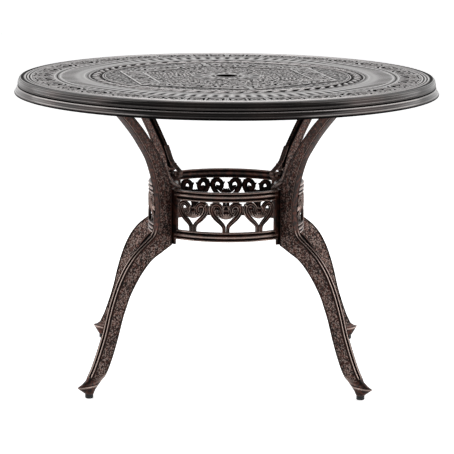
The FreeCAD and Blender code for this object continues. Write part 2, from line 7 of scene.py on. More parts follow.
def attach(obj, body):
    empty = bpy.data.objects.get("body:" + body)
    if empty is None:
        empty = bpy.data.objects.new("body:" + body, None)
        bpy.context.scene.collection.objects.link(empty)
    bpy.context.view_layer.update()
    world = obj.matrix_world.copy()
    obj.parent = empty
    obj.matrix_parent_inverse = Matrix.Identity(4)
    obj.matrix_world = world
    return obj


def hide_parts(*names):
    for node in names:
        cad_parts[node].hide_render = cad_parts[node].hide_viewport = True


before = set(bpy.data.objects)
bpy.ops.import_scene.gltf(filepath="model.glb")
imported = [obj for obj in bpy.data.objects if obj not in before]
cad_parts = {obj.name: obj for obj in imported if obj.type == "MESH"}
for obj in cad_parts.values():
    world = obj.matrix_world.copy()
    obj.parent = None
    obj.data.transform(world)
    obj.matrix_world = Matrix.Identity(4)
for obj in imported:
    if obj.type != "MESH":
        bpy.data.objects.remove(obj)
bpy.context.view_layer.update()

# The studio: a white floor and backdrop, two large side lamps and one overhead, and a camera that
# stands where the photographer stood. None of it is part of the table.
CAMERA_DISTANCE = 5.9985
CAMERA_HEIGHT = 1.4599
CAMERA_SIDE = 0.001
CAMERA_TILT = 0.1815
CAMERA_TURN = -0.0003
CAMERA_ROLL = 0.0063
CAMERA_LENS = 193.1
CAMERA_SENSOR = 36
CAMERA_REACH = 60
STUDIO_SIZE = 44
STUDIO_WHITE = (0.8, 0.8, 0.8, 1)
FLOOR_PLACE = (0, 0, -0.0006)
BACKDROP_PLACE = (0, 8.2, 8.5)

bpy.ops.object.select_all(action="DESELECT")
bpy.ops.object.camera_add(location=(CAMERA_SIDE, -CAMERA_DISTANCE, CAMERA_HEIGHT))
camera = bpy.context.object
aim = Matrix.Rotation(CAMERA_TURN, 4, "Z") @ Matrix.Rotation(math.pi / 2 - CAMERA_TILT, 4, "X")
camera.matrix_world = Matrix.Translation(camera.location) @ aim @ Matrix.Rotation(CAMERA_ROLL, 4, "Z")
camera.data.lens = CAMERA_LENS
camera.data.sensor_width = CAMERA_SENSOR
camera.data.clip_end = CAMERA_REACH
bpy.context.scene.camera = camera
bpy.context.scene.view_settings.view_transform = "Standard"


def white_studio_material(name, camera_lift, mirror_lift):
    """Matt white that shows as the white background to the camera and in reflections."""
    material = bpy.data.materials.new(name)
    material.use_nodes = True
    nodes = material.node_tree.nodes
    links = material.node_tree.links
    shader = nodes["Principled BSDF"]
    shader.inputs["Base Color"].default_value = STUDIO_WHITE
    shader.inputs["Roughness"].default_value = 0.9
    shader.inputs["Emission Color"].default_value = (1, 1, 1, 1)
    path = nodes.new("ShaderNodeLightPath")
    seen = nodes.new("ShaderNodeMath")
    seen.operation = "MULTIPLY"
    seen.inputs[1].default_value = camera_lift
    links.new(path.outputs["Is Camera Ray"], seen.inputs[0])
    mirrored = nodes.new("ShaderNodeMath")
    mirrored.operation = "MULTIPLY_ADD"
    mirrored.inputs[1].default_value = mirror_lift
    links.new(path.outputs["Is Glossy Ray"], mirrored.inputs[0])
    links.new(seen.outputs[0], mirrored.inputs[2])
    links.new(mirrored.outputs[0], shader.inputs["Emission Strength"])
    return material


bpy.ops.mesh.primitive_plane_add(size=STUDIO_SIZE, location=FLOOR_PLACE)
floor = bpy.context.object
floor.name = "studio_floor"
floor.data.materials.append(white_studio_material("studio_floor", 0.8, 0.25))

bpy.ops.mesh.primitive_plane_add(size=STUDIO_SIZE, location=BACKDROP_PLACE, rotation=(math.pi / 2, 0, 0))
backdrop = bpy.context.object
backdrop.name = "studio_backdrop"
backdrop.data.materials.append(white_studio_material("studio_backdrop", 1.0, 0.85))

# Name, place, width, depth and power of each lamp. All point at the middle of the table.
LAMP_AIM = Vector((0, 0, 0.5))
LAMPS = [
    ("lamp_left", (-3.1, 0.3, 2.3), 4.2, 4.2, 100),
    ("lamp_right", (3.1, 0.2, 2.3), 4.2, 4.2, 105),
    ("lamp_top", (0.1, 0.6, 3.4), 3.0, 2.4, 45),
]
for name, place, width, depth, power in LAMPS:
    bpy.ops.object.light_add(type="AREA", location=place)
    lamp = bpy.context.object
    lamp.name = name
    lamp.data.shape = "RECTANGLE"
    lamp.data.size = width
    lamp.data.size_y = depth
    lamp.data.energy = power
    lamp.rotation_euler = (LAMP_AIM - Vector(place)).to_track_quat("-Z", "Y").to_euler()

world = bpy.data.worlds.new("studio_world")
bpy.context.scene.world = world
world.use_nodes = True
sky = world.node_tree.nodes["Background"]
sky.inputs["Color"].default_value = (1, 1, 1, 1)
sky_path = world.node_tree.nodes.new("ShaderNodeLightPath")
sky_level = world.node_tree.nodes.new("ShaderNodeMapRange")
sky_level.inputs["To Min"].default_value = 0.2
sky_level.inputs["To Max"].default_value = 1.0
world.node_tree.links.new(sky_path.outputs["Is Camera Ray"], sky_level.inputs["Value"])
world.node_tree.links.new(sky_level.outputs["Result"], sky.inputs["Strength"])

# The legs: four curved aluminium castings from one pattern, hammered on their sides, with two beads
# along the outer face, a polished shield foot, a scroll above the ring and a flange that is bolted
# under the tabletop. Antique bronze paint lies dark in the hollows and is rubbed on what stands up; its light and
# black colours are also used as painted highlights and painted shade.
MM = 0.001
PAINT_DARK = (0.022, 0.015, 0.013, 1)
PAINT_RED = (0.12, 0.042, 0.028, 1)
# Rubbed metal, also used for painted highlights, and black glaze, also used for painted shade.
PAINT_RUBBED_AND_HIGHLIGHT = (0.74, 0.56, 0.49, 1)
PAINT_GLAZE_AND_SHADE = (0.003, 0.0025, 0.0025, 1)


def patina_group():
    """Mottled bronze paint with a fine grain. The wear_and_painted_light attribute is above 0 where the paint wears
    through to the metal and where a highlight is painted, and below 0 in hollows, where dull black glaze has settled,
    and where shade is painted black."""
    group = bpy.data.node_groups.new("patina", "ShaderNodeTree")
    for socket, color in (("Dark", PAINT_DARK), ("Red", PAINT_RED), ("Rubbed", PAINT_RUBBED_AND_HIGHLIGHT), ("Glaze_And_Shade", PAINT_GLAZE_AND_SHADE)):
        group.interface.new_socket(socket, in_out="INPUT", socket_type="NodeSocketColor").default_value = color
    for socket, amount in (("Cloud Scale", 60.0), ("Base Roughness", 0.3), ("Base Metallic", 0.7)):
        group.interface.new_socket(socket, in_out="INPUT", socket_type="NodeSocketFloat").default_value = amount
    for socket, kind in (("Color", "NodeSocketColor"), ("Roughness", "NodeSocketFloat"),
                         ("Metallic", "NodeSocketFloat"), ("Height", "NodeSocketFloat")):
        group.interface.new_socket(socket, in_out="OUTPUT", socket_type=kind)
    nodes = group.nodes
    links = group.links
    given = nodes.new("NodeGroupInput")
    result = nodes.new("NodeGroupOutput")
    place = nodes.new("ShaderNodeTexCoord")
    cloud = nodes.new("ShaderNodeTexNoise")
    cloud.inputs["Detail"].default_value = 4
    links.new(place.outputs["Object"], cloud.inputs["Vector"])
    links.new(given.outputs["Cloud Scale"], cloud.inputs["Scale"])
    grain = nodes.new("ShaderNodeTexNoise")
    grain.inputs["Scale"].default_value = 700
    grain.inputs["Detail"].default_value = 2
    links.new(place.outputs["Object"], grain.inputs["Vector"])
    wear_and_painted_light_amount = nodes.new("ShaderNodeAttribute")
    wear_and_painted_light_amount.attribute_name = "wear_and_painted_light"

    band = nodes.new("ShaderNodeMapRange")
    band.inputs["From Min"].default_value = 0.42
    band.inputs["From Max"].default_value = 0.66
    links.new(cloud.outputs["Fac"], band.inputs["Value"])
    tint = nodes.new("ShaderNodeMix")
    tint.data_type = "RGBA"
    links.new(band.outputs["Result"], tint.inputs["Factor"])
    links.new(given.outputs["Dark"], tint.inputs["A"])
    links.new(given.outputs["Red"], tint.inputs["B"])

    speckle = nodes.new("ShaderNodeMapRange")
    speckle.inputs["From Min"].default_value = 0.25
    speckle.inputs["From Max"].default_value = 0.7
    speckle.inputs["To Min"].default_value = 0.55
    links.new(grain.outputs["Fac"], speckle.inputs["Value"])
    # The rubbed colour shows where the paint wears through and where a highlight is painted.
    edge = nodes.new("ShaderNodeMath")
    edge.operation = "MULTIPLY"
    edge.use_clamp = True
    links.new(wear_and_painted_light_amount.outputs["Fac"], edge.inputs[0])
    links.new(speckle.outputs["Result"], edge.inputs[1])
    rub_and_highlight_mix = nodes.new("ShaderNodeMix")
    rub_and_highlight_mix.data_type = "RGBA"
    links.new(edge.outputs[0], rub_and_highlight_mix.inputs["Factor"])
    links.new(tint.outputs["Result"], rub_and_highlight_mix.inputs["A"])
    links.new(given.outputs["Rubbed"], rub_and_highlight_mix.inputs["B"])

    # The black glaze shows in hollows and where shade is painted.
    glaze_and_shade_mask = nodes.new("ShaderNodeMath")
    glaze_and_shade_mask.operation = "MULTIPLY"
    glaze_and_shade_mask.use_clamp = True
    glaze_and_shade_mask.inputs[1].default_value = -1
    links.new(wear_and_painted_light_amount.outputs["Fac"], glaze_and_shade_mask.inputs[0])
    glaze_and_shade_mix = nodes.new("ShaderNodeMix")
    glaze_and_shade_mix.data_type = "RGBA"
    links.new(glaze_and_shade_mask.outputs[0], glaze_and_shade_mix.inputs["Factor"])
    links.new(rub_and_highlight_mix.outputs["Result"], glaze_and_shade_mix.inputs["A"])
    links.new(given.outputs["Glaze_And_Shade"], glaze_and_shade_mix.inputs["B"])

    rough = nodes.new("ShaderNodeMath")
    rough.operation = "MULTIPLY_ADD"
    rough.inputs[1].default_value = 0.16
    links.new(grain.outputs["Fac"], rough.inputs[0])
    links.new(given.outputs["Base Roughness"], rough.inputs[2])
    polish_and_highlight = nodes.new("ShaderNodeMath")
    polish_and_highlight.operation = "MULTIPLY_ADD"
    polish_and_highlight.inputs[1].default_value = -0.1
    links.new(edge.outputs[0], polish_and_highlight.inputs[0])
    links.new(rough.outputs[0], polish_and_highlight.inputs[2])
    dull = nodes.new("ShaderNodeMix")
    dull.inputs["B"].default_value = 0.85
    links.new(glaze_and_shade_mask.outputs[0], dull.inputs["Factor"])
    links.new(polish_and_highlight.outputs[0], dull.inputs["A"])
    bare = nodes.new("ShaderNodeMix")
    bare.inputs["B"].default_value = 1
    links.new(glaze_and_shade_mask.outputs[0], bare.inputs["Factor"])
    links.new(given.outputs["Base Metallic"], bare.inputs["A"])

    links.new(glaze_and_shade_mix.outputs["Result"], result.inputs["Color"])
    links.new(dull.outputs["Result"], result.inputs["Roughness"])
    links.new(bare.outputs["Result"], result.inputs["Metallic"])
    links.new(grain.outputs["Fac"], result.inputs["Height"])
    return group


PATINA = patina_group()


def bronze_material(name, cloud_scale, roughness, metallic, relief_strength, **paints):
    """Cast aluminium painted antique bronze; paints may name other colours for Dark, Red, Rubbed or Glaze_And_Shade.
    """
    material = bpy.data.materials.new(name)
    material.use_nodes = True
    nodes = material.node_tree.nodes
    links = material.node_tree.links
    shader = nodes["Principled BSDF"]
    shader.inputs["Specular IOR Level"].default_value = 0.6
    paint = nodes.new("ShaderNodeGroup")
    paint.node_tree = PATINA
    paint.inputs["Cloud Scale"].default_value = cloud_scale
    paint.inputs["Base Roughness"].default_value = roughness
    paint.inputs["Base Metallic"].default_value = metallic
    for layer, color in paints.items():
        paint.inputs[layer].default_value = color
    relief = nodes.new("ShaderNodeBump")
    relief.inputs["Strength"].default_value = relief_strength
    relief.inputs["Distance"].default_value = 0.0004
    links.new(paint.outputs["Color"], shader.inputs["Base Color"])
    links.new(paint.outputs["Roughness"], shader.inputs["Roughness"])
    links.new(paint.outputs["Metallic"], shader.inputs["Metallic"])
    links.new(paint.outputs["Height"], relief.inputs["Height"])
    links.new(relief.outputs["Normal"], shader.inputs["Normal"])
    return material


LEG_BRONZE = bronze_material("hammered_bronze", 140, 0.24, 0.7, 0.15)


def welded(piece):
    """Merges the doubles of a piece in edit mode, turns its faces outwards and leaves edit mode."""
    bpy.ops.mesh.select_all(action="SELECT")
    bpy.ops.mesh.remove_doubles(threshold=0.01 * MM)
    bpy.ops.mesh.normals_make_consistent(inside=False)
    bpy.ops.object.mode_set(mode="OBJECT")
    return piece


def skin(name, rows, columns, line):
    """A grid primitive laid over a casting: line(row) gives a place and a value of wear and painted light for each
    point across.
    Edges that meet are welded, so tubes and poles close."""
    bpy.ops.object.select_all(action="DESELECT")
    bpy.ops.mesh.primitive_grid_add(x_subdivisions=columns, y_subdivisions=rows, size=1)
    piece = bpy.context.object
    piece.name = name
    wear_and_painted_light = piece.data.attributes.new("wear_and_painted_light", "FLOAT", "POINT")
    lines = [line(row) for row in range(rows + 1)]
    for point in piece.data.vertices:
        row = round((point.co.y + 0.5) * rows)
        column = round((point.co.x + 0.5) * columns)
        place, wear_and_painted_light_amount = lines[row][column]
        wear_and_painted_light.data[point.index].value = wear_and_painted_light_amount
        point.co = place
    bpy.ops.object.mode_set(mode="EDIT")
    return welded(piece)


def one_casting(name, pieces, material, sharp_degrees=35):
    """Joins the shapes of one casting, shades it smooth between its sharp edges and paints it."""
    bpy.ops.object.select_all(action="DESELECT")
    for piece in pieces:
        piece.select_set(True)
    casting = pieces[0]
    bpy.context.view_layer.objects.active = casting
    if len(pieces) > 1:
        bpy.ops.object.join()
    bpy.ops.object.transform_apply(location=True, rotation=True, scale=True)
    bpy.ops.object.shade_smooth_by_angle(angle=math.radians(sharp_degrees))
    casting.name = name
    casting.data.name = name
    casting.data.materials.clear()
    casting.data.materials.append(material)
    return casting


def turned_copy(piece, name, degrees):
    """A copy with its own mesh, turned about the table's middle."""
    copy = piece.copy()
    copy.data = piece.data.copy()
    copy.name = name
    copy.data.name = name
    copy.data.transform(Matrix.Rotation(math.radians(degrees), 4, "Z"))
    bpy.context.scene.collection.objects.link(copy)
    return copy


def clamp(value, low, high):
    return min(max(value, low), high)


def ramp(value, start, length):
    """Rises evenly from 0 at start to 1 a length further on."""
    return clamp((value - start) / length, 0, 1)


def through(points, amount):
    """A smooth way through points: amount runs from 0 at the first to 1 at the last."""
    last = len(points) - 1
    position = clamp(amount, 0, 1) * last
    index = min(int(position), last - 1)
    part = position - index
    here = Vector(points[index])
    there = Vector(points[index + 1])
    pull_here = (there - Vector(points[max(index - 1, 0)])) / 2
    pull_there = (Vector(points[min(index + 2, last)]) - here) / 2
    return (here * (2 * part**3 - 3 * part**2 + 1) + pull_here * (part**3 - 2 * part**2 + part)
            + there * (3 * part**2 - 2 * part**3) + pull_there * (part**3 - part**2))


# Each pair is a place on the leg's outer edge and the place across from it on its inner edge,
# as radius and height in millimetres, from the flange down past the heel to the foot.
RING_EDGE = 193
RING_TOP = 478
LEG_PAIRS_HIGH = [
    (407, 713, 371, 713), (363, 673, 341, 686), (320, 628, 300, 647), (291, 591, 269, 611), (267.5, 555, 240, 572),
    (249, 505, 208, 521), (238, 452, 193, 464), (238, 420, 193, 425), (242, 390, 193, 385), (251, 370, 193, 358),
    (267, 358, 193, 340),
]
LEG_PAIRS_LOW = [
    (267, 358, 193, 340), (287, 346, 225, 326), (309, 331, 258, 311), (329, 313, 287, 287), (347, 292, 311, 260),
    (366.6, 261, 332, 230), (383, 226, 344, 205), (396, 192, 355, 181), (409, 152, 367, 147), (422, 120, 379, 115),
    (436, 89.5, 392, 85), (447, 68, 404, 62), (456, 54, 414, 48), (462, 44, 424, 41),
]
ROWS_PER_PAIR = 32
LEG_HALF_WIDTH = 9.5
LEG_FLARE = 2.25
LEG_FLARE_HEIGHT = 262
# Across half of the outer face: share of the half width, height, and wear and painted light: the two beads are light,
# rubbed paint and painted highlight, and the grooves black, glaze and painted shade. Then the borders beside the
# hammered field: way in from the edge, height, and wear and painted light on the lower and upper leg.
OUTER_FACE = [
    (0.0, -2.6, -1), (0.2, -2.6, -1), (0.28, -2.3, -1), (0.33, -1.3, -0.4), (0.39, -0.4, 0.8), (0.46, 0.1, 1),
    (0.54, 0.3, 1), (0.62, 0.1, 1), (0.69, -0.4, 0.8), (0.75, -1.3, -0.4), (0.80, -1.8, -1), (0.92, -1.6, -1),
]
OUTER_BORDER = [(0.7, -0.1, -0.5, -0.9), (2.0, 0, -0.7, 0), (3.4, 0, -0.4, 0.8), (4.6, -1.2, -1, -1)]
INNER_BORDER = [(6.4, -1.2, -1), (5.4, -0.05, 0.1), (4.4, -0.05, 0), (3.6, -0.3, -0.9), (1.5, -1.1, -1),
                (0.2, -2.4, -1), (0, -4.0, -1)]
FIELD_COLUMNS = 36
FIELD_SUNK = 0.8
FIELD_START = 5.2
FIELD_MARGINS = 12.2
BLOW_SCALE = 0.4
SWELL_SCALE = 0.17
# Heights at which the blows get shallower and duller and the outer face plain, each over what length.
SHALLOWER = (500, 130)
DULLER_LOW = (340, 30)
DULLER_HIGH = (490, 120)
PLAIN_FACE = (366, 22)


def leg_section(row):
    """Points round the leg at one row: the outer face, with two beads below the ring and plain above it,
    the bordered hammered side, the inner face, and the same again on the other side."""
    high_rows = ROWS_PER_PAIR * (len(LEG_PAIRS_HIGH) - 1)
    low_rows = ROWS_PER_PAIR * (len(LEG_PAIRS_LOW) - 1)
    if row <= high_rows:
        pair = through([Vector(pair) for pair in LEG_PAIRS_HIGH], row / high_rows)
        if pair[3] < RING_TOP:
            pair[2] = RING_EDGE
    else:
        pair = through([Vector(pair) for pair in LEG_PAIRS_LOW], (row - high_rows) / low_rows)
    outer = Vector((pair[0], 0, pair[1]))
    inner = Vector((pair[2], 0, pair[3]))
    depth = (outer - inner).length
    inwards = (inner - outer) / depth
    half = LEG_HALF_WIDTH + max(0, outer.z - RING_TOP) * LEG_FLARE / LEG_FLARE_HEIGHT
    hammer_depth = 0.62 - 0.40 * ramp(outer.z, *SHALLOWER)
    hammer_rub = 0.57 - 0.07 * ramp(outer.z, *DULLER_LOW) - 0.38 * ramp(outer.z, *DULLER_HIGH)
    plain = ramp(outer.z, *PLAIN_FACE)
    side = []
    for share, height, wear_and_painted_light in OUTER_FACE:
        height += (-0.5 - 0.5 * share - height) * plain
        wear_and_painted_light += ((-0.9 if share > 0.85 else -0.15) - wear_and_painted_light) * plain
        side.append((outer - inwards * height + Vector((0, half * share, 0)), wear_and_painted_light))
    for down, height, low_wear_and_painted_light, high_wear_and_painted_light in OUTER_BORDER:
        wear_and_painted_light = low_wear_and_painted_light + (high_wear_and_painted_light - low_wear_and_painted_light) * plain
        side.append((outer + inwards * down + Vector((0, half + height, 0)), wear_and_painted_light))
    for column in range(FIELD_COLUMNS + 1):
        down = FIELD_START + (depth - FIELD_MARGINS) * column / FIELD_COLUMNS
        place = outer + inwards * down + Vector((0, half - FIELD_SUNK, 0))
        blow = noise.noise(place * BLOW_SCALE) + 0.2 * noise.noise(place * SWELL_SCALE)
        place.y += blow * hammer_depth
        side.append((place, hammer_rub * clamp(blow * 4.6 - 0.25, -0.85, 0.85)))
    side += [(inner - inwards * up + Vector((0, half + height, 0)), wear_and_painted_light) for up, height, wear_and_painted_light in INNER_BORDER]
    side.append((inner, 0))
    back = [(Vector((place.x, -place.y, place.z)), wear_and_painted_light) for place, wear_and_painted_light in reversed(side[:-1])]
    ring = side + back
    if row == 0 or row == high_rows + low_rows:
        middle = (outer + inner) / 2
        ring = [(middle, 0)] * len(ring)
    return [(place * MM, wear_and_painted_light) for place, wear_and_painted_light in ring]


leg_rows = ROWS_PER_PAIR * (len(LEG_PAIRS_HIGH) + len(LEG_PAIRS_LOW) - 2)
leg_board = skin("leg_board", leg_rows, len(leg_section(1)) - 1, leg_section)

# Loops of the foot from the sole up: inner and outer place, half width, squareness, point of the toe, sag, and wear
# and painted light, which holds painted highlights as well as rubbed paint.
FOOT_LOOPS = [
    (459, 10.4, 461, 10.4, 1, 2, 0, 0, -0.8), (449.8, 10.4, 470.2, 10.4, 10.2, 2, 0, 0, -0.6),
    (449, 11.2, 471, 11.2, 11.0, 2, 0, 0, 0.3), (447.4, 13.4, 474, 13.2, 11.4, 2, 0, 0, 0),
    (444.4, 17.4, 479.4, 17, 11.9, 2, 0.05, 0, 0), (440.6, 21.4, 485.4, 21, 12.5, 2, 0.2, 0, 0),
    (435.8, 25.6, 491.4, 25.2, 13.1, 2, 0.35, 0, -0.1), (431.4, 29.4, 497.2, 29.2, 13.6, 2, 0.45, 0, 0.9),
    (431.4, 30.4, 496.4, 30.2, 13.2, 2, 0.45, 0, 0.7), (430.4, 31.8, 491, 31.4, 12.5, 2.4, 0.4, 0.3, -0.7),
    (427.0, 35.0, 483, 34.4, 11.3, 2.6, 0.3, 1, 0), (421.0, 41.5, 475.4, 38.6, 10.5, 3, 0.15, 3, 0.2),
    (414.4, 50.0, 469.2, 42, 10.2, 3.4, 0.05, 6, 0.2), (408.4, 58.5, 464.4, 46, 10.3, 4, 0, 9, 0.2),
    (403.8, 66.5, 461.4, 50.4, 10.9, 4, 0, 12, 0.4), (403.2, 67.6, 461.0, 51.4, 10.8, 4, 0, 12, 1.0),
    (404.0, 68.6, 460.0, 52.2, 8.6, 4, 0, 12, -0.8), (430, 56, 432, 55, 1, 2, 0, 0, 0),
]
FOOT_COLUMNS = 56


def foot_loop(row):
    """One loop of the foot, rounded or squared, drawn in at the toe and sagging at its sides."""
    near_r, near_z, far_r, far_z, half, square, toe, sag, wear_and_painted_light = FOOT_LOOPS[row]
    ring = []
    for column in range(FOOT_COLUMNS + 1):
        turn = 2 * math.pi * (column % FOOT_COLUMNS) / FOOT_COLUMNS
        along = math.copysign(abs(math.cos(turn)) ** (2 / square), math.cos(turn))
        across = math.copysign(abs(math.sin(turn)) ** (2 / square), math.sin(turn))
        across *= 1 - toe * max(along, 0) ** 2
        share = (along + 1) / 2
        height = near_z + (far_z - near_z) * share - sag * math.sin(turn) ** 2
        # Painted highlight: the polished shield is painted lighter on its near side and darker on its far side.
        polish_and_highlight = 1.2 * (0.5 - share) if sag > 2 else 0
        ring.append((Vector((near_r + (far_r - near_r) * share, half * across, height)) * MM, wear_and_painted_light + polish_and_highlight))
    if row in (0, len(FOOT_LOOPS) - 1):
        ring = [(Vector(((near_r + far_r) / 2, 0, near_z)) * MM, 0)] * len(ring)
    return ring


foot = skin("foot", len(FOOT_LOOPS) - 1, FOOT_COLUMNS, foot_loop)


# Across a rolled strip of the scroll, with a rim at each side: share of the half width and of the thickness.
CURL_FACE = [(-1, 0.2), (-0.86, 0.5), (-0.66, 0.3), (0, 0.42), (0.66, 0.3), (0.86, 0.5), (1, 0.2), (1, -0.2),
             (0.8, -0.5), (0, -0.5), (-0.8, -0.5), (-1, -0.2), (-1, 0.2)]
CURL_RIM = 0.5


def curl(name, path, thick_start, thick_end, half_width, rows=48):
    """A rolled strip of the scroll that runs along a path of radius and height."""

    def section(row):
        share = clamp((row - 1) / (rows - 2), 0, 1)
        here = through(path, share)
        ahead = through(path, min(share + 0.01, 1)) - through(path, max(share - 0.01, 0))
        outwards = Vector((-ahead[1], 0, ahead[0])).normalized()
        thick = thick_start + (thick_end - thick_start) * share
        centre = Vector((here[0], 0, here[1]))
        if row in (0, rows):
            return [(centre * MM, 0)] * len(CURL_FACE)
        return [((centre + outwards * thick * up + Vector((0, half_width * side, 0))) * MM,
                 0.7 if up == CURL_RIM else 0.1) for side, up in CURL_FACE]

    return skin(name, rows, len(CURL_FACE) - 1, section)


def wound(eye, start, turn, reach, shrink):
    """Points that wind in to an eye: each is a turn further round, in degrees, and nearer by the shrink."""
    points = []
    for step in range(15):
        angle = math.radians(start + turn * step)
        away = reach * shrink**step
        points.append((eye[0] + away * math.cos(angle), eye[1] + away * math.sin(angle)))
    return points


# The scroll rolls off the leg's inner side, over the ring's top edge, and ends in an eye inside the ring.
SCROLL_EYE = (173, 472.5)
SIDE_EYE = (203, 482)
roll = [(216, 542), (207, 524), (199, 508), (189, 497), (178.5, 489.5)] + wound(SCROLL_EYE, 123, 31, 10.6, 0.93)
side_roll = [(196, 480)] + wound(SIDE_EYE, 170, -34, 8.2, 0.92)
scroll_pieces = [
    curl("scroll_roll", roll, 5.0, 2.6, 7.4),
    curl("scroll_side", side_roll, 2.6, 2.2, 10.9),
    curl("scroll_leaf", [(206, 518), (197, 506), (190, 500), (184, 498)], 5.5, 3.4, 5.6, 20),
    curl("scroll_tip", [(192, 498), (182, 491), (173, 487)], 5.5, 3.4, 6.2, 20),
]

# The flange lies flat against the pad under the tabletop.
FLANGE_PLACE = (0.389, 0, 0.716)
FLANGE_SIZE = (0.064, 0.062, 0.008)
bpy.ops.object.select_all(action="DESELECT")
bpy.ops.mesh.primitive_cube_add(size=1, location=FLANGE_PLACE, scale=FLANGE_SIZE)
flange = bpy.context.object
soft = flange.modifiers.new("soft_edges", "BEVEL")
soft.width = 2 * MM
soft.segments = 3
bpy.ops.object.modifier_apply(modifier="soft_edges")

leg_pattern = one_casting("leg_pattern", [leg_board, foot, flange] + scroll_pieces, LEG_BRONZE)
LEG_PLACES = {"front_left": 225, "front_right": 315, "back_right": 45, "back_left": 135}
for place, degrees in LEG_PLACES.items():
    leg = turned_copy(leg_pattern, "cast_leg_" + place, degrees)
    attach(leg, "table")
    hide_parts("leg_" + place)
bpy.data.objects.remove(leg_pattern)

# The stretcher ring: four curved panels, each cast in one piece with moulded rails, two end posts and
# three hearts that hold palmettes. Plates behind the legs clamp the panel ends, so each panel ends in a
# plain strip that hangs a little lower than the rail.
RING_BRONZE = bronze_material("ring_bronze", 60, 0.24, 0.7, 0.1)
RING_RADIUS = 193
PANEL_END = 44.85
RAIL_END = 40.5
HEART_STEP = 25
POST_WIDTH = 7
TOP_RAIL = 478
BOTTOM_RAIL = 380
RAIL_HEIGHT = 24
RAIL_ROWS = 80


def on_ring(along, height, outwards=0):
    """A place on the ring's outer face: millimetres along it from the panel's middle, height and relief."""
    angle = along / RING_RADIUS
    reach = RING_RADIUS + outwards
    return Vector((reach * math.cos(angle), reach * math.sin(angle), height)) * MM


# Heights, relief, and wear and painted light round a rail, from its top edge down its moulded face and up its plain
# back. The ridges are light and the grooves black, rubbed paint and glaze, and painted highlight and painted shade as
# well.
RAIL_FACE = [
    (0, -2.0, 0), (0, -0.6, 0.3), (-0.7, 1.0, 0.9), (-2.2, 1.7, 1.0), (-3.8, 1.0, 0.1), (-5.2, -0.9, -0.9),
    (-7.0, -1.1, -0.9), (-8.4, 0.2, -0.1), (-10.0, 1.5, 0.7), (-12.0, 2.0, 0.8), (-13.8, 1.5, 0.2),
    (-15.6, 0.2, -0.5), (-17.6, -1.2, -1), (-19.2, -1.0, -0.9), (-20.4, 0.6, 0.3), (-21.8, 1.3, 0.9),
    (-23.2, 0.8, 0.3), (-24, -0.6, -0.2), (-24, -2.0, 0),
]
# On the back, which faces the inside of the ring, the two light lines and the two black grooves are painted highlight
# and painted shade.
RAIL_BACK = [(-24, -5.5, -0.3), (-23.2, -7.3, 0.5), (-20.6, -7.1, -0.4), (-18, -5.6, -1), (-15, -7, -0.5),
             (-11, -7.3, 0.3), (-8, -7, -0.5), (-5.4, -5.6, -1), (-2.6, -7, -0.2), (-0.8, -7.3, 0.7), (0, -5.5, 0)]


def rail(name, top, flip):
    """One moulded rail, as a closed section carried along the ring between the end strips. The lower rail
    has the upper one's mouldings upside down."""
    profile = RAIL_FACE + RAIL_BACK + RAIL_FACE[:1]

    def section(row):
        angle = RAIL_END * (2 * clamp(row - 1, 0, RAIL_ROWS - 2) / (RAIL_ROWS - 2) - 1)
        along = math.radians(angle) * RING_RADIUS
        if row in (0, RAIL_ROWS):
            return [(on_ring(along, top - RAIL_HEIGHT / 2, -3), 0)] * len(profile)
        return [(on_ring(along, top + (-RAIL_HEIGHT - drop if flip else drop), relief), wear_and_painted_light)
                for drop, relief, wear_and_painted_light in profile]

    return skin(name, RAIL_ROWS, len(profile) - 1, section)


def strand(name, path, rows, profile, place, swells=True):
    """A cast strand along a path of two drawn measures and a half width, with a profile of share across,
    relief, and wear and painted light. place(along, up, relief) puts a drawn point on the casting. A strand that
    swells stands out less where it is narrow."""

    def section(row):
        share = clamp((row - 1) / (rows - 2), 0, 1)
        along, up, half = through(path, share)
        step = through(path, min(share + 0.004, 1)) - through(path, max(share - 0.004, 0))
        side = Vector((-step[1], step[0])).normalized()
        if row in (0, rows):
            return [(place(along, up, -3), 0)] * len(profile)
        swell = 0.75 + 0.25 * min(half / 5, 1) if swells else 1
        return [(place(along + side.x * half * across, up + side.y * half * across,
                       relief * swell if relief > 0 else relief), wear_and_painted_light) for across, relief, wear_and_painted_light in profile]

    return skin(name, rows, len(profile) - 1, section)


# Across the hearts' strands, which have a raised middle between two beads, and the palmettes' round ones. Their sides
# are painted black, painted shade inside the openings, and their crests light, rubbed paint and painted highlight.
BAND = [
    (-1.0, -5.6, -1), (-1.0, -0.8, -0.6), (-0.92, 0.5, 0.2), (-0.80, 1.1, 0.7), (-0.68, 0.3, -0.5), (-0.54, -0.8, -1),
    (-0.38, 0.5, -0.4), (-0.14, 1.5, 0.2), (0.06, 1.6, 0.2), (0.28, 0.6, -0.3), (0.44, -0.8, -1), (0.60, 0.2, -0.5),
    (0.76, 1.1, 0.9), (0.90, 0.7, 0.4), (1.0, -0.8, -0.6), (1.0, -5.6, -1), (0, -6, -0.6), (-1.0, -5.6, -1),
]
BEAD = [(-1.0, -5, -1), (-0.95, -0.4, -0.6), (-0.6, 1.0, 0.2), (0, 1.8, 0.9), (0.6, 1.0, 0.2), (0.95, -0.4, -0.6),
        (1.0, -5, -1), (0, -5.4, -0.6), (-1.0, -5, -1)]
HEART_PATH = [
    (4.6, 377, 4.6), (4.6, 386, 4.4), (5.6, 394, 4.8), (11.0, 401.5, 5.2), (17.5, 407.5, 5.6), (24.4, 414.5, 6.0),
    (31.0, 423, 6.4), (35.0, 433.5, 6.8), (33.4, 443.4, 6.9), (26, 448.8, 6.2), (17.6, 446.6, 5.6),
    (12.2, 440.4, 5.6), (11.2, 432.6, 5.4), (14.0, 426.8, 5.0), (18.8, 425.6, 4.8), (21.8, 429.4, 5.2),
    (20.8, 434.4, 4.8),
]
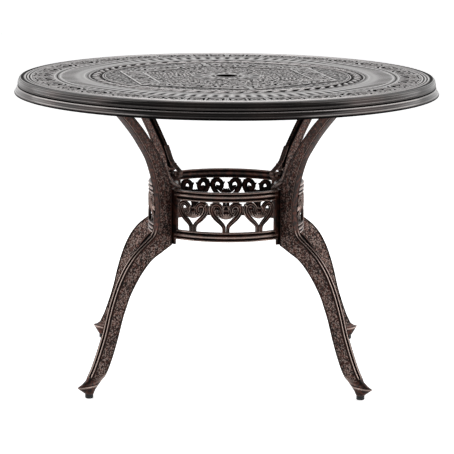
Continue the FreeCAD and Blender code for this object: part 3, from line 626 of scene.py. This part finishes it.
BOWL_PATH = [(-20.5, 428, 1.5), (-17.5, 421, 2.2), (-11, 417.2, 2.7), (0, 415.2, 3.0), (11, 417.2, 2.7),
             (17.5, 421, 2.2), (20.5, 428, 1.5)]
# Leaves of the palmette: root along and height, tip along and height, half width.
PALMETTE = [(0, 415, 0, 425.5, 3.4), (2.5, 416, 6.6, 426, 2.8), (5, 416, 13, 424.5, 2.4),
            (9.0, 436, 3.6, 443.6, 2.2), (31, 441, 38.5, 450.5, 2.0)]
LEAF_WIDTHS = ((0, 0.55), (0.3, 0.9), (0.65, 1.0), (0.9, 0.7), (1.0, 0.3))


def drawn(path, hand, along=0):
    """A path as it is, or mirrored where hand is -1, and moved along."""
    return [(hand * place + along, height, half) for place, height, half in path]


panel_pieces = [rail("top_rail", TOP_RAIL, False), rail("bottom_rail", BOTTOM_RAIL, True)]
heart_step = math.radians(HEART_STEP) * RING_RADIUS
for heart in (-1, 0, 1):
    middle = heart * heart_step
    for hand in (1, -1):
        panel_pieces.append(strand("heart", drawn(HEART_PATH, hand, middle), 76, BAND, on_ring))
    panel_pieces.append(strand("bowl", drawn(BOWL_PATH, 1, middle), 28, BEAD, on_ring))
    for root_along, root_height, tip_along, tip_height, half in PALMETTE:
        leaf = [(root_along + (tip_along - root_along) * share,
                 root_height + (tip_height - root_height) * share, half * wide) for share, wide in LEAF_WIDTHS]
        for hand in ((1, -1) if root_along else (1,)):
            panel_pieces.append(strand("leaf", drawn(leaf, hand, middle), 12, BEAD, on_ring))


def upright(name, from_angle, to_angle, bottom, top, back, front):
    """A plain upright bar of the panel, curved with the ring and softened at its edges."""
    wide = math.radians(to_angle - from_angle) * RING_RADIUS
    middle = math.radians(from_angle + to_angle) / 2 * RING_RADIUS
    bpy.ops.object.select_all(action="DESELECT")
    bpy.ops.mesh.primitive_cube_add(size=1)
    bar = bpy.context.object
    bar.name = name
    for point in bar.data.vertices:
        point.co = Vector((point.co.x * wide, point.co.y * (top - bottom), point.co.z * (front - back)))
    soft = bar.modifiers.new("soft_edges", "BEVEL")
    soft.width = 0.6
    soft.segments = 2
    bpy.ops.object.modifier_apply(modifier="soft_edges")
    for point in bar.data.vertices:
        point.co = on_ring(middle + point.co.x, (bottom + top) / 2 + point.co.y, (front + back) / 2 + point.co.z)
    bpy.ops.object.mode_set(mode="EDIT")
    bpy.ops.mesh.select_all(action="SELECT")
    bpy.ops.mesh.normals_make_consistent(inside=False)
    bpy.ops.object.mode_set(mode="OBJECT")
    return bar


# Name, two edges in degrees, bottom, top, back and front of the uprights at a panel's end.
END_UPRIGHTS = [
    ("end_post", RAIL_END - math.degrees(POST_WIDTH / RING_RADIUS), RAIL_END, 357, 477, -7, 1.3),
    ("end_strip", RAIL_END, PANEL_END, 342, 478, -6, 0),
]
for side in (-1, 1):
    for name, near, far, bottom, top, back, front in END_UPRIGHTS:
        from_angle, to_angle = sorted((side * near, side * far))
        panel_pieces.append(upright(name, from_angle, to_angle, bottom, top, back, front))

panel_pattern = one_casting("ring_pattern", panel_pieces, RING_BRONZE)
PANEL_PLACES = {"front": 270, "right": 0, "back": 90, "left": 180}
for place, degrees in PANEL_PLACES.items():
    panel = turned_copy(panel_pattern, "heart_panel_" + place, degrees)
    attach(panel, "table")
    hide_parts("ring_panel_" + place)
bpy.data.objects.remove(panel_pattern)

# The rim: a cast aluminium band welded round the tabletop, with a rounded upper edge, a deep groove
# and a hollow lower band that flares out and tucks in under its lip. It is painted like the legs, but smoother, and
# darker and greyer, painted shade for its front, which mirrors the dark room.
RIM_BRONZE = bronze_material("rim_bronze", 9, 0.11, 0.75, 0.03, Dark=(0.013, 0.011, 0.0105, 1),
                             Red=(0.036, 0.025, 0.023, 1), Rubbed=(0.70, 0.65, 0.63, 1))


def turned_ring(name, profile, steps):
    """A closed profile of radius, height, and wear and painted light, spun round the table's middle."""
    bpy.ops.object.select_all(action="DESELECT")
    bpy.ops.mesh.primitive_circle_add(vertices=len(profile), radius=1)
    piece = bpy.context.object
    piece.name = name
    wear_and_painted_light = piece.data.attributes.new("wear_and_painted_light", "FLOAT", "POINT")
    for point, (radius, height, wear_and_painted_light_amount) in zip(piece.data.vertices, profile):
        point.co = Vector((radius, 0, height)) * MM
        wear_and_painted_light.data[point.index].value = wear_and_painted_light_amount
    bpy.ops.object.mode_set(mode="EDIT")
    bpy.ops.mesh.select_all(action="SELECT")
    bpy.ops.mesh.spin(steps=steps, angle=2 * math.pi, center=(0, 0, 0), axis=(0, 0, 1))
    return welded(piece)


# Radius, height, and wear and painted light round the rim: its rounded top and groove are painted dark and its
# underside black, painted shade over the glaze.
RIM_PROFILE = [
    (505, 734, -1), (505, 739.4, -1), (506.2, 740, -0.9), (508.4, 740, -0.7), (509.4, 739.8, -0.1),
    (510.6, 739.4, 0.1), (511.6, 738.7, -0.3), (512.6, 737.9, -0.2), (513.4, 736.8, 0.2), (514.0, 735.6, -0.2),
    (514.7, 734.0, 0), (515.3, 732.4, 0.15), (515.8, 730.8, -0.1), (516.2, 729, 0), (516.5, 727.2, 0),
    (516.7, 725.4, 0.3), (516.7, 723.4, 0), (516.5, 721.8, 0.1), (515.6, 720.9, -0.6), (514.8, 720.1, -1),
    (514.8, 719.2, -1), (515.8, 718.4, -1), (517.2, 717.9, 0.3), (518.3, 717.0, 0.5), (518.8, 715.8, 0.2),
    (519.1, 714.2, 0), (519.5, 712.4, 0), (520.1, 710.6, 0.1), (520.9, 709.0, -0.1), (521.9, 707.4, 0.1),
    (523.0, 706.0, 0.3), (524.0, 704.8, -0.1), (524.7, 703.7, -0.6), (525.0, 702.6, -0.9), (524.8, 701.4, -1),
    (523.8, 700.2, -1), (521.6, 699.4, -1), (516.0, 699, -1), (512.6, 699, -0.6), (512.0, 699.6, -0.6),
    (512.2, 706, -0.4), (512.0, 713, -0.3), (507.0, 731, -0.4),
]
rim = one_casting("moulded_rim", [turned_ring("rim", RIM_PROFILE, 320)], RIM_BRONZE, 32)
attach(rim, "table")
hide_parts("rim")

# The tabletop: one round aluminium casting. From the edge inwards it has three fine mouldings, a pierced
# scroll border, a smooth ring, a fluted ring, a rope of leaves and a hexagon medallion round the pole hole.
TOP_BRONZE = bronze_material("top_bronze", 30, 0.26, 0.75, 0.12, Dark=(0.028, 0.024, 0.023, 1),
                             Red=(0.075, 0.062, 0.058, 1), Rubbed=(0.52, 0.50, 0.495, 1))
TOP = 740
UNDERSIDE = 734


def top_skin(name, columns, radii, relief):
    """A ring of the tabletop: its top follows relief(turn, radius), which gives a height and a value of wear and
    painted light.
    """

    def line(row):
        turn = 2 * math.pi * (row % columns) / columns
        across = Vector((math.cos(turn), math.sin(turn), 0))
        points = [(across * radii[0] + Vector((0, 0, UNDERSIDE)), 0)]
        for radius in radii:
            height, wear_and_painted_light_amount = relief(turn, radius)
            points.append((across * radius + Vector((0, 0, TOP + height)), wear_and_painted_light_amount))
        points.append((across * radii[-1] + Vector((0, 0, UNDERSIDE)), 0))
        points.append((across * radii[0] + Vector((0, 0, UNDERSIDE)), 0))
        return [(place * MM, wear_and_painted_light_amount) for place, wear_and_painted_light_amount in points]

    return skin(name, columns, len(radii) + 2, line)


def hump(value, middle, half):
    """A smooth hump from 0 at its sides to 1 in its middle."""
    share = (value - middle) / half
    return math.cos(share * math.pi / 2) ** 2 if abs(share) < 1 else 0


# The edge's three mouldings, with light crests and black valleys, and a black outer slope that is painted shade for
# the dark line along the back edge; and the radii at which each of the inner rings starts.
EDGE_PROFILE = [
    (478.5, 734, -1), (478.5, 737.8, -1), (479.8, 738.8, -0.4), (481.4, 739.6, 0.3), (483, 740.5, 1),
    (484.8, 739.7, 0.3), (486.2, 738.4, -1), (488, 738.4, -1), (489.4, 739.6, 0.4), (491, 740.5, 1),
    (492.6, 739.7, 0.3), (494, 738.4, -1), (495.4, 738.4, -1), (496.6, 739.6, 0.4), (498, 740.5, 1),
    (499.6, 739.9, 0.3), (501, 739.4, -0.2), (502.6, 739.2, -0.9), (505, 739, -1), (505, 734, -1),
]
SMOOTH_RING = 409.5
FLUTED_RING = 354.5
DASHED_RING = 338
ROPE_RING = 309
ROPE_MIDDLE = 323.5
FLUTES = 96
ROPE_LEAVES = 60


def ring_relief(turn, radius):
    """Smooth ring, flutes, ring with a line of dashes, rope of leaves and two beads, from outside to inside."""
    if radius > SMOOTH_RING:
        outer_bead = hump(radius, 425.5, 2.6)
        inner_bead = hump(radius, 411.5, 2.4)
        height = -0.5 + 0.6 * outer_bead + 0.5 * inner_bead - 0.8 * hump(radius, 418.5, 2)
        wear_and_painted_light_amount = 0.1 + 0.9 * outer_bead + 0.8 * inner_bead - 1.3 * hump(radius, 418.5, 2.6)
    elif radius > FLUTED_RING:
        wave = abs(math.sin((turn * FLUTES + (radius - 382) * 0.004 * math.pi) / 2))
        deep = min(1, (SMOOTH_RING - radius) / 5) * ramp(radius, 364, 30)
        gap = max(0, 1 - wave / 0.75)
        height = -0.4 - deep * 1.8 * gap**0.7
        wear_and_painted_light_amount = 0.4 - deep * 2.4 * gap**0.7 + 0.3 * hump(wave, 1, 0.12) - 0.25 * hump(radius, 360, 8)
    elif radius > DASHED_RING:
        dash = clamp(2.4 * math.sin(turn * FLUTES) + 0.4, 0, 1)
        outer_bead = hump(radius, 352, 2.5)
        inner_bead = hump(radius, 339.5, 1.6)
        height = -0.4 - 0.9 * dash * hump(radius, 343.5, 3) + 0.6 * outer_bead + 0.4 * inner_bead
        wear_and_painted_light_amount = 0.1 + 0.7 * outer_bead - 1.4 * dash * hump(radius, 343.5, 3.4) + 0.7 * inner_bead
    elif radius > ROPE_RING:
        share = (turn * ROPE_LEAVES / (2 * math.pi) + (radius - ROPE_MIDDLE) * 0.035) % 1
        leaf = hump(share, 0.5, 0.40) * hump(radius, ROPE_MIDDLE, 14)
        height = -3.4 + 3.8 * min(leaf * 2.2, 1)
        wear_and_painted_light_amount = 3.2 * leaf**0.8 - 1.1
    else:
        outer_bead = hump(radius, 306, 2.8)
        inner_bead = hump(radius, 300.5, 2.6)
        height = -1.4 + 1.8 * outer_bead + 1.8 * inner_bead
        wear_and_painted_light_amount = 2.2 * (outer_bead + inner_bead) - 1.1
    return height, clamp(wear_and_painted_light_amount, -1, 1)


RING_RADII = [
    298, 299, 300.5, 302, 303.3, 304.6, 306, 307.4, 308.8, 310, 312, 314.5, 317, 320, 323.5, 327, 330, 332.5,
    335, 337, 338.3, 339.5, 341, 342.2, 343.5, 345, 347, 349.5, 350.8, 352, 353.5, 354.8, 356.5, 359, 364, 370,
    376, 382, 388, 394, 400, 404, 407, 409.2, 410.2, 411.5, 413, 414.5, 416, 417.2, 418.5, 419.8, 421.2, 423,
    424.2, 425.5, 427, 428.5,
]
flutes = one_casting("tabletop_flutes", [top_skin("flutes", FLUTES * 12, RING_RADII, ring_relief)], TOP_BRONZE)
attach(flutes, "table")

# Pierced border: thirty repeats of two scrolls back to back, with leaves between them. A strand's points
# are the place along the border, the radius and the half width, and the drawing is squeezed to its ring.
BORDER_REPEATS = 30
BORDER_MIDDLE = 458
BORDER_START = 427
BORDER_SQUEEZE = 0.86
BORDER_STRANDS = [
    [(1.5, 427, 3.6), (12, 434, 3.2), (24.5, 442.5, 3.2), (33.5, 454.5, 3.3), (33, 468, 3.3), (24, 477, 3.2),
     (13.5, 475.6, 2.7), (8.6, 466.5, 2.5), (12.6, 457.6, 2.5), (20.6, 458.6, 2.4), (22, 466, 2.1)],
    [(48, 426, 6.5), (47, 434, 4.5), (45.2, 442, 2.7), (45, 450, 2), (45.4, 458, 2.1), (45, 466, 2.7),
     (44, 474, 3.3), (44, 481, 4.3), (46, 488, 5.9)],
    [(22, 427, 4.3), (33, 432, 2.7), (40, 439, 1.5)],
    [(30, 489, 3.9), (35, 483, 2.1), (38, 476, 1.3)],
    [(4, 489, 3.9), (12, 485, 2.4), (22, 487.5, 2.1)],
]
BORDER_MIDDLE_LEAF = [(0, 425, 2.7), (0, 440, 1.8), (0, 449, 3.3), (0, 457, 3.1), (0, 466, 1.5), (0, 475, 1.7),
                      (0, 488, 3.6)]
# Across a strand of the openwork: its walls are painted black, painted shade on the walls seen down the openings, and
# its two top edges light, painted highlights, over the glaze and rubbed paint.
TOP_BAND = [(-1, -6, -1), (-1, -0.9, -1), (-0.92, -0.3, 0), (-0.68, 0.1, 1), (-0.34, 0, 0.3), (0, -0.2, 0),
            (0.34, 0, 0.3), (0.68, 0.1, 1), (0.92, -0.3, 0), (1, -0.9, -1), (1, -6, -1), (-1, -6, -1)]


def top_strand(name, path, rows, flat):
    """A strand of the tabletop's openwork: flat(along, across) gives a drawn point's place seen from above."""

    def on_top(along, across, relief):
        return (flat(along, across) + Vector((0, 0, TOP + relief))) * MM

    return strand(name, path, rows, TOP_BAND, on_top, swells=False)


def on_border(along, radius):
    turn = along / BORDER_MIDDLE
    reach = BORDER_START + (radius - BORDER_START) * BORDER_SQUEEZE
    return Vector((reach * math.cos(turn), reach * math.sin(turn), 0))


unit = [top_strand("leaf", BORDER_MIDDLE_LEAF, 18, on_border)]
for path in BORDER_STRANDS:
    rows = 4 * len(path) + 2 if len(path) > 10 else 3 * len(path) + 2
    for hand in (1, -1):
        unit.append(top_strand("scroll", drawn(path, hand), rows, on_border))
unit = one_casting("border_unit", unit, TOP_BRONZE, 50)
border = [turned_copy(unit, "border", 360 * step / BORDER_REPEATS) for step in range(BORDER_REPEATS)]
bpy.data.objects.remove(unit)
border.append(turned_ring("edge", EDGE_PROFILE, 300))
border = one_casting("tabletop_border", border, TOP_BRONZE, 50)
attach(border, "table")
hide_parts("tabletop")

# The medallion, part of the same casting: finely pebbled segments, a hexagon frame of two beads with
# pierced scrolls between them, a pebbled ground with six ropes, and a scalloped hub with twelve slots
# round the hole.
MEDALLION_RADIUS = 299
HEX_CORNER = math.radians(43)
HEX_OUTER = 246
HEX_INNER = 186.5
HEX_BAND_MIDDLE = 216
HEX_SQUEEZE = 0.9
HUB_RADIUS = 84
HUB_SLOTS = 12
PETAL_START = 62
SPOKE_MIDDLE = 53


def hexagon(apothem):
    """The reach of a hexagon of this half width, for a turn about its middle."""
    return lambda turn: apothem / math.cos((turn - HEX_CORNER) % (math.pi / 3) - math.pi / 6)


def shaped_skin(name, columns, inside, outside, steps, relief):
    """A ring of the medallion between two outlines; relief(place, share) gives a height and a value of wear and
    painted light.
    """

    def line(row):
        turn = 2 * math.pi * (row % columns) / columns
        across = Vector((math.cos(turn), math.sin(turn), 0))
        start = inside(turn)
        span = outside(turn) - start
        points = [(across * start + Vector((0, 0, UNDERSIDE)), 0)]
        for share in steps:
            place = across * (start + span * share)
            height, wear_and_painted_light_amount = relief(place, share)
            points.append((place + Vector((0, 0, TOP + height)), wear_and_painted_light_amount))
        points.append((across * (start + span) + Vector((0, 0, UNDERSIDE)), 0))
        points.append((across * start + Vector((0, 0, UNDERSIDE)), 0))
        return [(place * MM, wear_and_painted_light_amount) for place, wear_and_painted_light_amount in points]

    return skin(name, columns, len(steps) + 2, line)


def pebbled(place, share):
    """The pebbled ground between the ropes."""
    pebble = noise.noise(place * 0.14) + 0.8 * noise.noise(place * 0.34)
    return -1.7 + 1.3 * pebble, clamp(4.4 * pebble - 0.4, -1, 1)


def round_bead(place, share):
    """A half round bead, dark along both sides."""
    lift = math.sin(math.pi * share)
    return -1.8 + 2.3 * lift**0.6, 2.2 * lift**1.5 - 1.1


def stippled(place, share):
    """The finer, flatter pebbles of the segments outside the hexagon."""
    pebble = noise.noise(place * 0.14) + 0.6 * noise.noise(place * 0.5)
    return -1.4 + 0.4 * pebble, clamp(3.2 * pebble - 0.35, -1, 0.9)


def shares(steps):
    return [step / steps for step in range(steps + 1)]


ground = shaped_skin("ground", 720, lambda turn: HUB_RADIUS - 1, hexagon(HEX_INNER + 0.5), shares(108), pebbled)
ground = one_casting("medallion_ground", [ground], TOP_BRONZE, 60)
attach(ground, "table")

frame_pieces = [
    shaped_skin("segments", 720, hexagon(HEX_OUTER - 0.5), lambda turn: MEDALLION_RADIUS, shares(20), stippled),
    shaped_skin("outer_bead", 360, hexagon(HEX_OUTER - 8.5), hexagon(HEX_OUTER), shares(10), round_bead),
    shaped_skin("inner_bead", 360, hexagon(HEX_INNER), hexagon(HEX_INNER + 8), shares(10), round_bead),
]

# Scrolls of one half of a hexagon side: place along the side, place across it and half width.
HEX_STRANDS = [
    [(0, -23, 3.7), (12, -18, 3.4), (24, -10, 3.7), (32, 1, 3.7), (31, 12, 3.4), (21, 17.5, 3.1), (11.5, 13, 2.8),
     (10.5, 4.4, 2.5), (16.5, 0.6, 2), (20.4, 5.4, 1.4)],
    [(43, 24, 3.7), (54, 18, 3.3), (65, 10, 3.4), (73, -1, 3.7), (72, -12, 3.3), (62, -17.5, 2.9), (53, -13, 2.6),
     (52, -4.6, 2.3), (57.6, -0.8, 2), (61.4, -5.4, 1.4)],
    [(84, -24, 3.4), (93, -17, 3.1), (102, -8, 3.3), (108, 3, 3.3), (105, 13.5, 3.1), (95.5, 17.5, 2.8),
     (88, 12, 2.5), (88.6, 4.6, 2.1), (93.6, 2.6, 1.4)],
    [(31, -24, 5.3), (38, -17, 3.4), (43.6, -6, 3.1), (45, 6, 3.1), (43, 16, 4.3), (37, 24, 6.4)],
    [(70, 24, 5.3), (77, 16, 3.4), (83, 5, 2.9), (85, -6, 2.9), (84, -15, 3.7), (79, -24, 5.3)],
    [(106, 24, 4.7), (115, 16, 2.6), (119.5, 6, 2.2), (117, -4, 2.3), (111, -13, 2.9), (108, -24, 5.3)],
    [(111, -26, 4.1), (118, -13, 2.6), (124, 1, 2.9), (130.5, 14, 4.2), (138, 28, 7)],
    [(0, 8, 2), (0, 15, 3.1), (0, 24, 5.3)],
    [(0, -20, 1.7), (0, -13, 3.8), (0, -6, 3.1), (0, 0, 1.4), (0, 3, 0.9)],
    [(14, 26, 4.7), (22, 23, 2.6), (30, 25, 4.1)],
    [(52, -26, 4.7), (61, -23, 2.6), (68, -25, 4.1)],
    [(88, 26, 4.7), (96, 23, 2.6), (102, 25, 4.1)],
    [(5, -16, 1.2), (12, -9, 2), (18, -5, 1.4), (23, -1, 0.9)],
    [(48, 14, 1.2), (55, 8, 2), (60, 4, 1.4), (64, 1, 0.9)],
    [(90, -13, 1.2), (97, -6, 1.7), (100, 0, 0.9)],
]


def on_side(turn):
    """Puts the drawing of a hexagon side, squeezed to its band, on the side that faces this way."""
    outwards = Vector((math.cos(turn), math.sin(turn), 0))
    sideways = Vector((-math.sin(turn), math.cos(turn), 0))
    return lambda along, across: outwards * (HEX_BAND_MIDDLE + across * HEX_SQUEEZE) + sideways * along


side_pieces = []
for path in HEX_STRANDS:
    for hand in (1, -1):
        rows = 3 * len(path) + 4
        side_pieces.append(top_strand("scroll", drawn(path, hand), rows, on_side(HEX_CORNER + math.pi / 6)))
side = one_casting("hexagon_side", side_pieces, TOP_BRONZE, 50)
frame_pieces += [turned_copy(side, "side", 60 * step) for step in range(6)]
bpy.data.objects.remove(side)

ROPE_HALF = 5.5
ROPE_TWIST = 10
ROPE_ROWS = 84
ROPE_ROW = 1.6
ROPE_ACROSS = [-1, -0.8, -0.5, -0.2, 0.2, 0.5, 0.8, 1]


def rope_line(row):
    """The top of a twisted rope that runs from the hub to a corner of the hexagon."""
    along = HUB_RADIUS - 4 + row * ROPE_ROW
    points = [(Vector((along, -ROPE_HALF, TOP - 3)), 0)]
    for across in ROPE_ACROSS:
        strand_lift = 0.5 + 0.5 * math.sin(2 * math.pi * along / ROPE_TWIST + across * 2.2)
        height = -2.2 + (2.6 - 1.1 * (1 - strand_lift)) * math.sqrt(max(1.05 - across**2, 0))
        points.append((Vector((along, across * ROPE_HALF, TOP + min(height, 0.4))), 1.8 * strand_lift - 0.8))
    points += [(Vector((along, ROPE_HALF, TOP - 3)), 0), (Vector((along, -ROPE_HALF, TOP - 3)), 0)]
    if row in (0, ROPE_ROWS):
        points = [(Vector((along, 0, TOP - 2.5)), 0)] * len(points)
    return [(place * MM, wear_and_painted_light_amount) for place, wear_and_painted_light_amount in points]


rope = one_casting("rope", [skin("rope", ROPE_ROWS, len(ROPE_ACROSS) + 2, rope_line)], TOP_BRONZE, 50)
frame_pieces += [turned_copy(rope, "rope", math.degrees(HEX_CORNER) + 60 * step) for step in range(6)]
bpy.data.objects.remove(rope)


def scallop(turn):
    """Rises from 0 to 1 over each of the hub's twelve petals."""
    return abs(math.sin(turn * HUB_SLOTS / 2 + math.pi / 2))


def scalloped(turn):
    return HUB_RADIUS + 2.6 * scallop(turn)


def petals(place, share):
    """Hub relief: a bead inside, petals, and a bright scalloped edge."""
    petal = scallop(math.atan2(place.y, place.x)) ** 0.6
    edge = hump(share, 0.9, 0.1)
    bead = hump(share, 0.06, 0.08)
    height = -0.9 + 0.9 * edge + 0.9 * bead - 1.0 * (1 - petal) * hump(share, 0.5, 0.4)
    wear_and_painted_light_amount = 0.1 + 0.9 * edge + 0.7 * bead - 1.1 * (1 - petal)
    return height, clamp(wear_and_painted_light_amount, -1, 1)


def on_hub(along, radius):
    turn = along / SPOKE_MIDDLE + math.pi / HUB_SLOTS
    return Vector((radius * math.cos(turn), radius * math.sin(turn), 0))


frame_pieces.append(shaped_skin("petals", 288, lambda turn: PETAL_START, scalloped, shares(16), petals))
HUB_RING = [(26, 734, -1), (26, 739, -1), (26.6, 739.8, -0.6), (28, 740.2, 1), (30, 740, 0.6), (31.4, 739.2, -0.8),
            (38, 739.0, -0.2), (41, 739.6, 0.6), (43, 740, 0.7), (45, 739.4, 0.3), (45.6, 738.6, 0), (45.6, 734, 0)]
frame_pieces.append(turned_ring("hub_ring", HUB_RING, 96))
SPOKE = [(0, 44, 13), (0, 46.6, 11.3), (0, 50, 10.7), (0, 53, 10.6), (0, 56, 10.7), (0, 59.4, 11.2), (0, 63, 14)]
spoke = one_casting("spoke", [top_strand("spoke", SPOKE, 18, on_hub)], TOP_BRONZE, 50)
frame_pieces += [turned_copy(spoke, "spoke", 360 * step / HUB_SLOTS) for step in range(HUB_SLOTS)]
bpy.data.objects.remove(spoke)
medallion = one_casting("medallion_frame", frame_pieces, TOP_BRONZE, 45)
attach(medallion, "table")

# The hardware: pads, clamp plates and the umbrella collar are cast aluminium in the same paint. Bolts,
# washers and glide studs are zinc-plated steel, and the glides that screw up and down are black nylon.
ZINC = (0.58, 0.58, 0.57, 1)
NYLON = (0.022, 0.022, 0.023, 1)


def plain_material(name, color, metallic, low_rough, high_rough, scale, relief_strength):
    """A plain finish with a fine grain, for the small parts."""
    material = bpy.data.materials.new(name)
    material.use_nodes = True
    nodes = material.node_tree.nodes
    links = material.node_tree.links
    shader = nodes["Principled BSDF"]
    shader.inputs["Base Color"].default_value = color
    shader.inputs["Metallic"].default_value = metallic
    place = nodes.new("ShaderNodeTexCoord")
    grain = nodes.new("ShaderNodeTexNoise")
    grain.inputs["Scale"].default_value = scale
    grain.inputs["Detail"].default_value = 3
    links.new(place.outputs["Object"], grain.inputs["Vector"])
    rough = nodes.new("ShaderNodeMapRange")
    rough.inputs["From Min"].default_value = 0.3
    rough.inputs["From Max"].default_value = 0.7
    rough.inputs["To Min"].default_value = low_rough
    rough.inputs["To Max"].default_value = high_rough
    links.new(grain.outputs["Fac"], rough.inputs["Value"])
    links.new(rough.outputs["Result"], shader.inputs["Roughness"])
    relief = nodes.new("ShaderNodeBump")
    relief.inputs["Strength"].default_value = relief_strength
    relief.inputs["Distance"].default_value = 0.0003
    links.new(grain.outputs["Fac"], relief.inputs["Height"])
    links.new(relief.outputs["Normal"], shader.inputs["Normal"])
    return material


ZINC_STEEL = plain_material("zinc_steel", ZINC, 1.0, 0.26, 0.44, 900, 0.1)
BLACK_NYLON = plain_material("black_nylon", NYLON, 0.0, 0.34, 0.52, 1400, 0.15)
SMALL_PARTS = [("leg_pad_", LEG_BRONZE), ("joint_plate_", LEG_BRONZE), ("top_bolts_", ZINC_STEEL),
               ("top_washers_", ZINC_STEEL), ("ring_bolts_", ZINC_STEEL), ("ring_washers_", ZINC_STEEL),
               ("glide_stud_", ZINC_STEEL), ("glide_foot_", BLACK_NYLON)]


def finished(part, finish):
    """Gives a CAD node its finish."""
    part.data.materials.clear()
    part.data.materials.append(finish)


for place in LEG_PLACES:
    for kind, finish in SMALL_PARTS:
        finished(bpy.data.objects[kind + place], finish)

COLLAR_BRONZE = bronze_material("collar_bronze", 60, 0.5, 0.3, 0.1, Dark=(0.008, 0.007, 0.007, 1),
                                Red=(0.014, 0.010, 0.009, 1))
finished(bpy.data.objects["umbrella_collar"], COLLAR_BRONZE)
